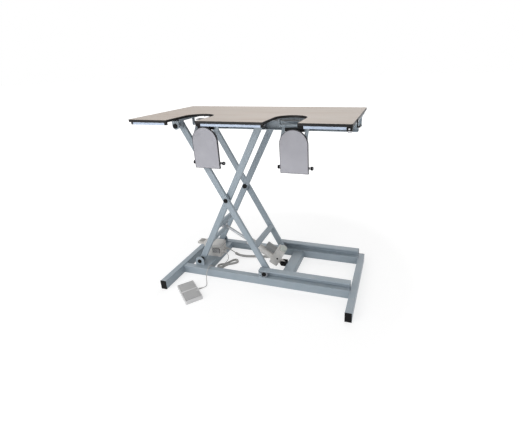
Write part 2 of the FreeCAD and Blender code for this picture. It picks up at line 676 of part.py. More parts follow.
def upper_frame():
    for label, front in (("upper_front_track", True), ("upper_rear_track", False)):
        track = channel(label, "base_long / 2 - foot_wide - upper_track_x", front, "0", False)
        y = "-upper_face" if front else "track_shut"
        node(at(track, "upper_track_x", y, "frame_low - track_high"), label)
    ties = []
    for x in ("fixed_x - frame_wide / 2", "mid_tube_x", "end_tube_x"):
        tie = tube_body("Tie", "Y", "frame_wide", "frame_thick", "frame_wall", "2 * rail_face",
                        "corner / 2")
        ties.append(at(tie, x, "-rail_face", "frame_low"))
    node(group(*ties), "top_cross_tubes")
    solids = []
    for y in ("-outer_face - hanger_step", "rail_face"):
        saddle = new_body("Saddle")
        side = sketch_on(saddle, "XZ")
        tombstone(side, "fixed_x", "frame_low", "hanger_wide / 2", "arm_top")
        circle(side, "fixed_x", "arm_top", "pivot_dia")
        pad(saddle, side, "rail_face - outer_face - hanger_step")
        gap = sketch_on(saddle, "YZ")
        inside = "rail_face - outer_face - hanger_step - 2 * hanger_thick"
        rectangle(gap, f"0 - ({inside}) - hanger_thick", "frame_low - 3 * hanger_wide", inside,
                  "3 * hanger_wide - hanger_thick")
        pocket(saddle, gap)
        solids.append(at(saddle, y=y))
    node(group(*solids), "top_pivot_brackets")
    steps = [("inner_face + side_gap", "rail_face", "pivot_dia"),
             ("outer_face + side_gap", "outer_face + hanger_step", "collar_dia"),
             ("inner_face + 2 * side_gap", "outer_back - side_gap", "collar_dia")]
    node(group(*[pin_along_y("fixed_x", "arm_top", steps, front) for front in (True, False)]),
         "top_pivot_bolts")
    node(group(*[round_cap("fixed_x", "arm_top", "rail_face", front) for front in (True, False)]),
         "top_pivot_caps")


def edge_rails():
    """Hollow rails under the three straight stretches of the front edge, with end caps."""
    cut_left = "cuts_mid - cut_offset"
    cut_right = "cuts_mid + cut_offset"
    spans = [("board_left + edge_left", f"{cut_left} - cut_half", "edge_cap", "edge_cap"),
             (f"{cut_left} + cut_half", f"{cut_right} - cut_half", "long_cap", "edge_cap"),
             (f"{cut_right} + cut_half", "board_right - edge_right", "long_cap", "block_long")]
    near = "edge_set - board_front"
    bars = []
    caps = []
    for left, right, first, last in spans:
        long = f"({right}) - ({left}) - {first} - {last}"
        bar = new_body("Bar")
        section = sketch_on(bar, "YZ")
        rectangle(section, "0", "0", "edge_rail_deep", "edge_rail_high")
        pad(bar, section, long)
        hollow = sketch_on(bar, "YZ")
        rectangle(hollow, "edge_rail_wall", "edge_rail_wall", "edge_rail_deep - 2 * edge_rail_wall",
                  "edge_rail_high - 2 * edge_rail_wall")
        pocket(bar, hollow)
        bars.append(at(bar, f"{left} + {first}", near, "board_low - edge_rail_high"))
        caps.append(box(left, near, "board_low - edge_rail_high", first, "edge_rail_deep",
                        "edge_rail_high"))
        if last == "edge_cap":
            caps.append(box(f"{right} - {last}", near, "board_low - edge_rail_high", last,
                            "edge_rail_deep", "edge_rail_high"))
    node(group(*bars), "front_edge_rails")
    block = box("board_right - edge_right - block_long", near, "board_low - block_high",
                "block_long", "block_deep", "block_high")
    knob = cylinder("board_right - edge_right - block_long / 2", f"{near} + block_deep / 2",
                    "board_low - block_high - knob_high", "knob_dia", "knob_high", "Z")
    node(group(*caps, fuse(block, knob)), "edge_rail_caps")


def end_hook():
    """A J hook on the right-hand edge of the board."""
    low = "top_high - hook_top - hook_drop"
    back = box("board_right", "hook_y", low, "hook_thick", "hook_wide", "hook_drop")
    shelf = box("board_right", "hook_y", low, "hook_reach", "hook_wide", "hook_thick")
    tip = box("board_right + hook_reach - hook_thick", "hook_y", low, "hook_thick", "hook_wide",
              "hook_tip")
    node(fuse(back, shelf, tip), "end_hook")


def flap_hangers():
    """For each flap a fixed hinge bar between two plates under the board."""
    solids = []
    for side in ("-", "+"):
        mid = f"cuts_mid {side} cut_offset"
        bar = cylinder(f"{mid} - flap_half - bar_over", "axis_y", "axis_z", "bar_dia",
                       "2 * (flap_half + bar_over)", "X")
        plates = []
        for x in (f"{mid} - flap_half - bar_over", f"{mid} + flap_half + bar_over - hanger_thick"):
            plate = box(x, "axis_y - knuckle_dia / 2", "axis_z", "hanger_thick", "knuckle_dia",
                        "board_low - axis_z")
            eye = cylinder(x, "axis_y", "axis_z", "knuckle_dia", "hanger_thick", "X")
            plates += [plate, eye]
        solids.append(fuse(bar, *plates))
    node(group(*solids), "flap_hinge_bars")


# Flaps


def flap(label, side):
    mid = f"cuts_mid {side} cut_offset"
    panel = new_body(label + "_panel")
    front = sketch_on(panel, "XZ")
    tombstone(front, mid, "flap_top - flap_long", "flap_half", "flap_top - flap_half")
    pad(panel, front, "flap_thick", backwards=True)
    node(at(panel, y="-flap_face"), label + "_panel")
    flap_yoke(label, mid)
    over = "cut_half + stop_over"
    rod = cylinder(f"{mid} - ({over})", "stop_y", "stop_z", "stop_dia", f"2 * ({over})", "X")
    tips = [cylinder(f"{mid} + {x}", "stop_y", "stop_z", "tip_dia", "stop_tip", "X")
            for x in (f"0 - ({over})", f"{over} - stop_tip")]
    node(fuse(rod, *tips), label + "_stop_bar")


def flap_yoke(label, mid):
    """Two straps behind the flap, bent back to knuckles on the hinge bar, and a tie."""
    axis = V(0, number("axis_y"), number("axis_z"))
    back = number("flap_thick - flap_face")
    thick = number("strap_thick")
    bend = number("strap_bend")
    wide = number("strap_wide")
    low = number("stop_z - stop_dia / 2")
    lean = (axis - V(0, back + thick / 2, bend)).normalize()
    side = V(1, 0, 0).cross(lean) * (thick / 2)
    knee = V(0, back + thick / 2, bend)
    outline = [V(0, back, low), V(0, back + thick, low), V(0, back + thick, bend),
               axis - side, axis + side, V(0, back, bend)]
    middle = number(mid)
    half = number("flap_half - strap_in") - wide
    straps = []
    for x in (middle - half - wide, middle + half):
        blade = Part.Face(Part.makePolygon(outline + outline[:1])).extrude(V(wide, 0, 0))
        blade.translate(V(x, 0, 0))
        ring = Part.makeCylinder(number("knuckle_dia / 2"), wide, V(x, axis.y, axis.z), V(1, 0, 0))
        bore = Part.makeCylinder(number("bar_dia / 2 + run_fit"), wide, V(x, axis.y, axis.z), V(1, 0, 0))
        straps.append(blade.fuse(ring).cut(bore))
    tie_low = bend + (axis.z - bend) / 2
    at_tie = knee + lean * ((tie_low - bend) / lean.z)
    tie = Part.makeBox(2 * half, number("tie_deep"), number("tie_high"),
                       V(middle - half, at_tie.y - number("tie_deep") / 2, tie_low))
    made = doc.addObject("Part::Feature", "Yoke")
    made.Shape = straps[0].fuse([straps[1], tie]).removeSplitter()
    node(made, label + "_yoke")


# Foot switch, drawn square at the origin and turned about Z


def turn(thing):
    thing.Placement.Rotation = FreeCAD.Rotation(V(0, 0, -1), 1)
    thing.setExpression("Placement.Rotation.Angle", cells("pedal_turn"))
    return at(thing, "pedal_x", "pedal_y")


def foot_switch():
    bay = "(pedal_long - 3 * pedal_wall) / 2"
    deep = "pedal_deep - 2 * pedal_wall"
    block = box("-pedal_long / 2", "-pedal_deep / 2", "0", "pedal_long", "pedal_deep", "pedal_high")
    softened = doc.addObject("Part::Fillet", "Softened")
    softened.Base = block
    doc.recompute()
    upright = [i for i, edge in enumerate(block.Shape.Edges, 1) if abs(edge.tangentAt(0).z) > 0.99]
    softened.Edges = [(i, number("pedal_wall"), number("pedal_wall")) for i in upright]
    hinge_y = "pedal_deep / 2 - pedal_wall - treadle_thick"
    hinge_z = "pedal_plinth + treadle_lift + trunnion_dia / 2"
    bays = []
    for x in ("-pedal_wall / 2 - " + bay, "pedal_wall / 2"):
        bays.append(box(x, "pedal_wall - pedal_deep / 2", "pedal_plinth", bay, deep, "pedal_high"))
        over = "(trunnion_long + trunnion_gap)"
        bays.append(cylinder(f"{x} - {over}", hinge_y, hinge_z, "trunnion_dia + 2 * run_fit",
                             f"{bay} + 2 * {over}", "X"))
    gland = cylinder("0", "pedal_deep / 2", "pedal_high / 2", "gland_dia", "gland_long")
    node(turn(group(cut(softened, *bays), gland)), "pedal_base")
    for label, x in (("left_treadle", "-pedal_wall / 2 - " + bay), ("right_treadle", "pedal_wall / 2")):
        plate = box(f"{x} + treadle_gap", "pedal_wall + treadle_gap - pedal_deep / 2",
                    "pedal_plinth + treadle_lift", f"{bay} - 2 * treadle_gap",
                    f"{deep} - 2 * treadle_gap", "treadle_thick")
        pivot = cylinder(f"{x} - trunnion_long", hinge_y, hinge_z, "trunnion_dia",
                         f"{bay} + 2 * trunnion_long", "X")
        node(turn(group(fuse(plate, pivot))), label)


# Cords


def cord(label, points, dia):
    """A free cord: straight runs joined by tangent arcs, points chosen by hand."""
    points = [V(*point) for point in points]
    pieces = []
    radii = []
    start = points[0]
    for before, here, after in zip(points, points[1:], points[2:]):
        into = (here - before).normalize()
        away = (after - here).normalize()
        turned = into.getAngle(away)
        run = 0.45 * min(here.distanceToPoint(before), here.distanceToPoint(after))
        radii.append(run / math.tan(turned / 2))
        inward = (away - into).normalize()
        top = here + inward * (radii[-1] / math.cos(turned / 2) - radii[-1])
        pieces.append(Part.LineSegment(start, here - into * run).toShape())
        pieces.append(Part.Arc(here - into * run, top, here + away * run).toShape())
        start = here + away * run
    pieces.append(Part.LineSegment(start, points[-1]).toShape())
    path = Part.Wire(pieces)
    section = Part.Wire(Part.Circle(points[0], points[1] - points[0], dia / 2).toShape())
    tube = path.makePipeShell([section], True, True)
    wanted = math.pi * dia ** 2 / 4 * path.Length
    if abs(tube.Volume - wanted) > 0.01 * wanted:
        raise ValueError(label + ": the swept volume is off")
    print(label, "length", round(path.Length), "radii", [round(r, 1) for r in radii])
    made = doc.addObject("Part::Feature", "Cord")
    made.Shape = tube
    node(made, label)


def cable_hank(dia, high, long, mid, turned):
    """The tied-up surplus of the pedal cable: one closed oblong bundle."""
    r = dia / 2
    outline = Part.Wire([Part.LineSegment(V(-long / 2, -r, 0), V(long / 2, -r, 0)).toShape(),
                         Part.Arc(V(long / 2, -r, 0), V(long / 2 + r, 0, 0), V(long / 2, r, 0)).toShape(),
                         Part.LineSegment(V(long / 2, r, 0), V(-long / 2, r, 0)).toShape(),
                         Part.Arc(V(-long / 2, r, 0), V(-long / 2 - r, 0, 0),
                                  V(-long / 2, -r, 0)).toShape()])
    body = Part.Face(outline).extrude(V(0, 0, high))
    body = body.makeFillet(high / 3, [edge for edge in body.Edges if abs(edge.tangentAt(0).z) < 0.5])
    made = doc.addObject("Part::Feature", "Hank")
    made.Shape = body
    made.Placement = FreeCAD.Placement(V(*mid), FreeCAD.Rotation(V(0, 0, 1), turned))
    node(made, "cable_hank")


# Build

foot("left_foot_tube", "-base_long / 2")
foot("right_foot_tube", "base_long / 2 - foot_wide")
foot_caps()
side_rail("front_side_rail", "-rail_face")
side_rail("rear_side_rail", "rail_back")
for name, y in (("front", "-rail_face"), ("rear", "rail_back")):
    track = channel(name + "_track", "track_long", True, "track_lip", name == "front")
    node(at(track, "track_start", y, "rail_high"), name + "_lower_track")
cross_member("drive_cross_member", "drive_member_x", "drive_member_wide")
cross_member("left_cross_member", "left_member_x", "left_member_wide")
fixed_brackets()
base_pins()
node(group(*[round_cap("fixed_x", "arm_low", "rail_back", front) for front in (True, False)]),
     "base_pivot_caps")
drive_clevis()
control_box()
outer_frame()
inner_frame()
for name, front in (("front", True), ("rear", False)):
    roller(name + "_lower_roller", "roll_x", "arm_low", "rail_face - roller_in - roller_wide",
           "rail_face - roller_in", front)
    roller(name + "_upper_roller", "roll_x", "arm_top", "upper_face - roller_in - roller_wide",
           "upper_face - roller_in", front)
drive_housing()
drive_rod()
board()
upper_frame()
edge_rails()
end_hook()
flap_hangers()
flap("left_flap", "-")
flap("right_flap", "+")
foot_switch()
cord("pedal_cable", [(-361.6, -367, 12), (-342, -344, 8), (-338, -316, 3.2), (-356, -286, 3.2),
                     (-372, -262, 14), (-379, -240, 38), (-380, -222, 59), (-381, -194, 66),
                     (-382, -166, 59), (-386, -150, 34), (-388, -132, 14), (-377, -115, 10)], 5)
cable_hank(46, 20, 124, (-322, -52, 0.3), 49)
cord("control_cable", [(-365, -22.5, 87), (-343, -24, 82), (-330, -32, 60), (-325, -42, 36),
                       (-324, -47, 17)], 5)
cord("motor_cable", [(-365, 22.5, 87), (-334, 24, 80), (-311, 38, 54), (-295, 56, 24),
                     (-266, 68, 5), (-222, 71, 4), (-166, 86, 4.2), (-106, 97, 4),
                     (-50, 104, 6), (-8, 112, 18), (26, 108, 40), (46.8, 84, 66),
                     (46.8, 41.5, 66)], 7)

# Check and write

doc.recompute()
for thing in doc.Objects:
    if "Invalid" in thing.State or "Error" in thing.State:
        raise ValueError(f"{thing.Label}: {thing.State}")
triangles = 0
for item in nodes:
    shape = item.Shape
    if shape.isNull() or not shape.isValid() or not shape.Solids:
        raise ValueError(item.Label + ": no valid solid")
    if len(item.Label) > 59:
        raise ValueError(item.Label + ": name too long")
    shape.exportStep(f"parts/{item.Label}.step")
print(len(nodes), "nodes, top at", round(number("top_high"), 1))
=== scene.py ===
import json
import math
import bmesh
import bpy
from mathutils import Matrix, Vector


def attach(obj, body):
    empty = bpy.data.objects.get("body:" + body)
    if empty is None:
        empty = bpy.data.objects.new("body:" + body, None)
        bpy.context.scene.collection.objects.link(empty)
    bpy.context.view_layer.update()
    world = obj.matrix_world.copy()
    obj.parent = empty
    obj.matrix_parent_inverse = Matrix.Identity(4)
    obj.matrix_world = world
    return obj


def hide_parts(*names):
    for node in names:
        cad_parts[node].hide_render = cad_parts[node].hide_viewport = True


# Height-adjustable ultrasound table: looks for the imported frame. Metres, X along the top,
# -Y the side with the cut-outs, Z up, the floor at Z = 0.

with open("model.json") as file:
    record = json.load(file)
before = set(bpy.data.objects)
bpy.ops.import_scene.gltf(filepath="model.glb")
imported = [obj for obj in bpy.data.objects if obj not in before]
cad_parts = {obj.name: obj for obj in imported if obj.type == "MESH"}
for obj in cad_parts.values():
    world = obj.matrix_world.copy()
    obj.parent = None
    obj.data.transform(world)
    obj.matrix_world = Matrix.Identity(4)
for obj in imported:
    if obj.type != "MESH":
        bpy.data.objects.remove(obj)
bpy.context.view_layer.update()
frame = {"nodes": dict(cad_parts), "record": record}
nodes = frame["nodes"]


# Camera, fitted to the photo's 523 by 423 frame

view = {
    "spot": (0.7752, -1.8954, 1.3205),
    "yaw": 17.08,          # degrees to the left of +Y
    "pitch": 20.7,         # degrees down
    "roll": -1.61,
    "focal": 337.26,       # in pixels of the photo
    "frameWide": 523,
    "shiftRight": 35.5,    # pixels from the frame's middle to the lens axis
    "shiftUp": 18.5,
    "sensor": 36.0,
}


def makeCamera():
    data = bpy.data.cameras.new("photoCamera")
    data.sensor_fit = "HORIZONTAL"
    data.sensor_width = view["sensor"]
    data.lens = view["focal"] / view["frameWide"] * view["sensor"]
    data.shift_x = -view["shiftRight"] / view["frameWide"]
    data.shift_y = -view["shiftUp"] / view["frameWide"]
    data.clip_start = 0.05
    data.clip_end = 60
    yaw = math.radians(view["yaw"])
    pitch = math.radians(view["pitch"])
    ahead = Vector((-math.sin(yaw) * math.cos(pitch), math.cos(yaw) * math.cos(pitch), -math.sin(pitch)))
    right = Vector((math.cos(yaw), math.sin(yaw), 0))
    above = right.cross(ahead)
    roll = math.radians(view["roll"])
    rolledRight = right * math.cos(roll) + above * math.sin(roll)
    rolledUp = above * math.cos(roll) - right * math.sin(roll)
    turn = Matrix((rolledRight, rolledUp, -ahead)).transposed().to_4x4()
    camera = bpy.data.objects.new("photoCamera", data)
    camera.matrix_world = Matrix.Translation(view["spot"]) @ turn
    bpy.context.collection.objects.link(camera)
    bpy.context.scene.camera = camera
    bpy.context.scene.view_settings.view_transform = "Standard"
    print("camera placed")


# Shader node groups, shared by the finishes

def newGroup(name, inputs, outputs):
    tree = bpy.data.node_groups.new(name, "ShaderNodeTree")
    for label, kind, value in inputs:
        socket = tree.interface.new_socket(label, in_out="INPUT", socket_type=kind)
        socket.default_value = value
    for label, kind in outputs:
        tree.interface.new_socket(label, in_out="OUTPUT", socket_type=kind)
    return tree, tree.nodes.new("NodeGroupInput"), tree.nodes.new("NodeGroupOutput")


def feed(tree, socket, value):
    # a socket gets a link where the value is another node's output, and a plain value otherwise
    if hasattr(value, "is_output"):
        tree.links.new(value, socket)
    else:
        socket.default_value = value


def addNode(tree, kind, settings=None, **values):
    made = tree.nodes.new(kind)
    for name, value in (settings or {}).items():
        setattr(made, name, value)
    for name, value in values.items():
        feed(tree, made.inputs[name.replace("_", " ")], value)
    return made


def ramp(tree, factor, stops):
    made = addNode(tree, "ShaderNodeValToRGB", Fac=factor)
    for element, (position, grey) in zip(made.color_ramp.elements, stops):
        element.position = position
        element.color = (grey, grey, grey, 1)
    return made.outputs["Color"]


def mixColour(tree, factor, first, second, blend="MIX"):
    made = addNode(tree, "ShaderNodeMix", {"data_type": "RGBA", "blend_type": blend})
    for socket, value in ((made.inputs[0], factor), (made.inputs[6], first), (made.inputs[7], second)):
        feed(tree, socket, value)
    return made.outputs[2]


def math2(tree, operation, first, second):
    made = addNode(tree, "ShaderNodeMath", {"operation": operation})
    feed(tree, made.inputs[0], first)
    feed(tree, made.inputs[1], second)
    return made.outputs[0]


def objectPlace(tree):
    return tree.nodes.new("ShaderNodeTexCoord").outputs["Object"]


def objectNoise(tree, source, scale, detail, rough=0.55):
    made = addNode(tree, "ShaderNodeTexNoise", Detail=detail, Roughness=rough, Vector=source, Scale=scale)
    return made.outputs["Fac"]


def stretched(tree, place, scale, turn=(0, 0, 0)):
    made = addNode(tree, "ShaderNodeMapping", Vector=place, Scale=scale, Rotation=turn)
    return made.outputs["Vector"]


def buildEdgeGroup():
    # how much a face turns away from its rounded neighbour: 1 on an edge, 0 on a flat
    tree, given, out = newGroup("edgeTurn", [("Radius", "NodeSocketFloat", 0.0015)],
                                [("Mask", "NodeSocketFloat")])
    soft = addNode(tree, "ShaderNodeBevel", {"samples": 4}, Radius=given.outputs["Radius"])
    plain = tree.nodes.new("ShaderNodeNewGeometry").outputs["Normal"]
    dot = addNode(tree, "ShaderNodeVectorMath", {"operation": "DOT_PRODUCT"})
    tree.links.new(soft.outputs["Normal"], dot.inputs[0])
    tree.links.new(plain, dot.inputs[1])
    turned = math2(tree, "SUBTRACT", 1.0, dot.outputs["Value"])
    tree.links.new(ramp(tree, turned, ((0.02, 0), (0.16, 1))), out.inputs["Mask"])
    return tree


def buildDustGroup():
    # dust that settles on faces turned up, in patches
    tree, given, out = newGroup("settledDust", [("Amount", "NodeSocketFloat", 0.3)],
                                [("Mask", "NodeSocketFloat")])
    place = objectPlace(tree)
    parts = tree.nodes.new("ShaderNodeSeparateXYZ")
    tree.links.new(tree.nodes.new("ShaderNodeNewGeometry").outputs["Normal"], parts.inputs[0])
    upward = ramp(tree, parts.outputs["Z"], ((0.55, 0), (0.95, 1)))
    patches = ramp(tree, objectNoise(tree, place, 23, 5, 0.65), ((0.42, 0), (0.68, 1)))
    both = math2(tree, "MULTIPLY", upward, patches)
    tree.links.new(math2(tree, "MULTIPLY", both, given.outputs["Amount"]), out.inputs["Mask"])
    return tree


def useGroup(tree, group, values=None):
    made = addNode(tree, "ShaderNodeGroup", {"node_tree": group})
    for name, value in (values or {}).items():
        feed(tree, made.inputs[name], value)
    return made.outputs


filmOutputs = [("Colour", "NodeSocketColor"), ("Rough", "NodeSocketFloat"), ("Height", "NodeSocketFloat")]


def buildPaintGroup(edgeGroup, dustGroup):
    # powder coat: soft colour drift, orange peel, thin paint on the edges, dust on top
    tree, given, out = newGroup("paintFilm", [
        ("Colour", "NodeSocketColor", (0.5, 0.5, 0.5, 1)), ("Worn", "NodeSocketColor", (0.7, 0.7, 0.72, 1)),
        ("Drift", "NodeSocketFloat", 0.3), ("Wear", "NodeSocketFloat", 0.4),
        ("Rough", "NodeSocketFloat", 0.4)], filmOutputs)
    place = objectPlace(tree)
    clouds = objectNoise(tree, place, 6.5, 4)
    peel = objectNoise(tree, place, 620, 2)
    spots = objectNoise(tree, place, 140, 3, 0.7)
    cool = mixColour(tree, 1.0, given.outputs["Colour"], (0.82, 0.87, 0.87, 1), "MULTIPLY")
    drift = math2(tree, "MULTIPLY", ramp(tree, clouds, ((0.35, 0), (0.68, 1))), given.outputs["Drift"])
    base = mixColour(tree, drift, given.outputs["Colour"], cool)
    edge = useGroup(tree, edgeGroup)["Mask"]
    thin = math2(tree, "MULTIPLY", edge, math2(tree, "MULTIPLY", given.outputs["Wear"], 0.45))
    edged = mixColour(tree, thin, base, given.outputs["Worn"])
    chips = math2(tree, "MULTIPLY", edge, ramp(tree, spots, ((0.56, 0), (0.62, 1))))
    bared = math2(tree, "MULTIPLY", chips, given.outputs["Wear"])
    worn = mixColour(tree, bared, edged, (0.16, 0.17, 0.18, 1))
    dust = useGroup(tree, dustGroup, {"Amount": 0.22})["Mask"]
    tree.links.new(mixColour(tree, dust, worn, (0.56, 0.55, 0.53, 1)), out.inputs["Colour"])
    smudge = math2(tree, "MULTIPLY", math2(tree, "SUBTRACT", clouds, 0.5), 0.3)
    rough = math2(tree, "ADD", given.outputs["Rough"], smudge)
    tree.links.new(math2(tree, "ADD", rough, math2(tree, "MULTIPLY", dust, 0.4)), out.inputs["Rough"])
    tree.links.new(math2(tree, "ADD", peel, math2(tree, "MULTIPLY", chips, -1.2)), out.inputs["Height"])
    return tree


def buildGrainGroup(edgeGroup, dustGroup):
    # moulded plastic: spark-erosion grain, rubbed edges, faint scuffs, dust on top
    tree, given, out = newGroup("mouldGrain", [
        ("Colour", "NodeSocketColor", (0.5, 0.5, 0.5, 1)), ("Grain", "NodeSocketFloat", 1500),
        ("Scuff", "NodeSocketFloat", 0.3), ("Rub", "NodeSocketFloat", 0.2),
        ("Rough", "NodeSocketFloat", 0.5)],
        filmOutputs)
    place = objectPlace(tree)
    grain = objectNoise(tree, place, given.outputs["Grain"], 2, 0.6)
    clouds = objectNoise(tree, place, 14, 5, 0.6)
    scratches = objectNoise(tree, stretched(tree, place, (60, 380, 240), (0.3, 0.7, 0.2)), 1, 4, 0.7)
    marks = ramp(tree, scratches, ((0.63, 0), (0.7, 1)))
    shade = mixColour(tree, 1.0, given.outputs["Colour"], (0.84, 0.84, 0.86, 1), "MULTIPLY")
    cloudMask = math2(tree, "MULTIPLY", ramp(tree, clouds, ((0.35, 0), (0.7, 1))), 0.5)
    base = mixColour(tree, cloudMask, given.outputs["Colour"], shade)
    pale = mixColour(tree, 0.22, given.outputs["Colour"], (0.85, 0.85, 0.85, 1))
    scuffed = mixColour(tree, math2(tree, "MULTIPLY", marks, given.outputs["Scuff"]), base, pale)
    edge = useGroup(tree, edgeGroup, {"Radius": 0.001})["Mask"]
    rubbed = math2(tree, "MULTIPLY", edge, given.outputs["Rub"])
    edged = mixColour(tree, rubbed, scuffed, pale)
    dust = math2(tree, "MULTIPLY", useGroup(tree, dustGroup, {"Amount": 0.3})["Mask"], given.outputs["Scuff"])
    tree.links.new(mixColour(tree, dust, edged, (0.5, 0.49, 0.47, 1)), out.inputs["Colour"])
    swing = math2(tree, "MULTIPLY", math2(tree, "SUBTRACT", clouds, 0.5), 0.25)
    tree.links.new(math2(tree, "ADD", given.outputs["Rough"], swing), out.inputs["Rough"])
    tree.links.new(math2(tree, "ADD", grain, math2(tree, "MULTIPLY", marks, -0.6)), out.inputs["Height"])
    return tree


def buildLaminateGroup(edgeGroup):
    # board face: pearl mottle, a fine crossed print grain, wipe marks and small dull spots
    tree, given, out = newGroup("boardFace", [
        ("Colour", "NodeSocketColor", (0.5, 0.5, 0.5, 1)), ("Warm", "NodeSocketColor", (0.5, 0.4, 0.36, 1)),
        ("Print", "NodeSocketFloat", 0.3), ("Rough", "NodeSocketFloat", 0.4)],
        filmOutputs)
    place = objectPlace(tree)
    wide = ramp(tree, objectNoise(tree, place, 3.2, 3), ((0.38, 0), (0.64, 1)))
    speck = ramp(tree, objectNoise(tree, place, 260, 3, 0.6), ((0.4, 0), (0.62, 1)))
    along = stretched(tree, place, (14, 420, 40))
    fibres = ramp(tree, objectNoise(tree, along, 1, 3, 0.6), ((0.42, 0), (0.66, 1)))
    warmth = math2(tree, "MULTIPLY", wide, 0.55)
    warmed = mixColour(tree, warmth, given.outputs["Colour"], given.outputs["Warm"])
    darker = mixColour(tree, 1.0, warmed, (0.86, 0.86, 0.87, 1), "MULTIPLY")
    printed = math2(tree, "MULTIPLY", math2(tree, "ADD", speck, fibres), given.outputs["Print"])
    printedColour = mixColour(tree, math2(tree, "MULTIPLY", printed, 0.5), warmed, darker)
    edge = useGroup(tree, edgeGroup, {"Radius": 0.001})["Mask"]
    tree.links.new(mixColour(tree, math2(tree, "MULTIPLY", edge, 0.3), printedColour, (0.75, 0.7, 0.64, 1)),
                   out.inputs["Colour"])
    bent = stretched(tree, place, (2.2, 26, 5), (0, 0, 0.5))
    wipes = ramp(tree, objectNoise(tree, bent, 1, 4, 0.6), ((0.45, 0), (0.7, 1)))
    dull = math2(tree, "MULTIPLY", wipes, 0.16)
    tree.links.new(math2(tree, "ADD", given.outputs["Rough"], dull), out.inputs["Rough"])
    tree.links.new(math2(tree, "ADD", speck, fibres), out.inputs["Height"])
    return tree


def buildBrushGroup(edgeGroup):
    # drawn or turned metal: hair lines along one axis, brighter edges
    tree, given, out = newGroup("brushLines", [
        ("Colour", "NodeSocketColor", (0.6, 0.6, 0.6, 1)), ("Along", "NodeSocketVector", (4, 900, 900)),
        ("Rough", "NodeSocketFloat", 0.3), ("Depth", "NodeSocketFloat", 0.1)],
        filmOutputs)
    place = objectPlace(tree)
    scaled = addNode(tree, "ShaderNodeVectorMath", {"operation": "MULTIPLY"})
    tree.links.new(place, scaled.inputs[0])
    tree.links.new(given.outputs["Along"], scaled.inputs[1])
    lines = objectNoise(tree, scaled.outputs[0], 1, 3, 0.6)
    clouds = objectNoise(tree, place, 22, 4)
    dull = mixColour(tree, 1.0, given.outputs["Colour"], (0.78, 0.78, 0.8, 1), "MULTIPLY")
    mask = math2(tree, "MULTIPLY", math2(tree, "ADD", lines, clouds), 0.5)
    base = mixColour(tree, ramp(tree, mask, ((0.4, 0), (0.62, 1))), given.outputs["Colour"], dull)
    edge = math2(tree, "MULTIPLY", useGroup(tree, edgeGroup, {"Radius": 0.0008})["Mask"], 0.35)
    tree.links.new(mixColour(tree, edge, base, (0.86, 0.87, 0.9, 1)), out.inputs["Colour"])
    swing = math2(tree, "MULTIPLY", math2(tree, "SUBTRACT", lines, 0.5), given.outputs["Depth"])
    tree.links.new(math2(tree, "ADD", given.outputs["Rough"], swing), out.inputs["Rough"])
    tree.links.new(lines, out.inputs["Height"])
    return tree


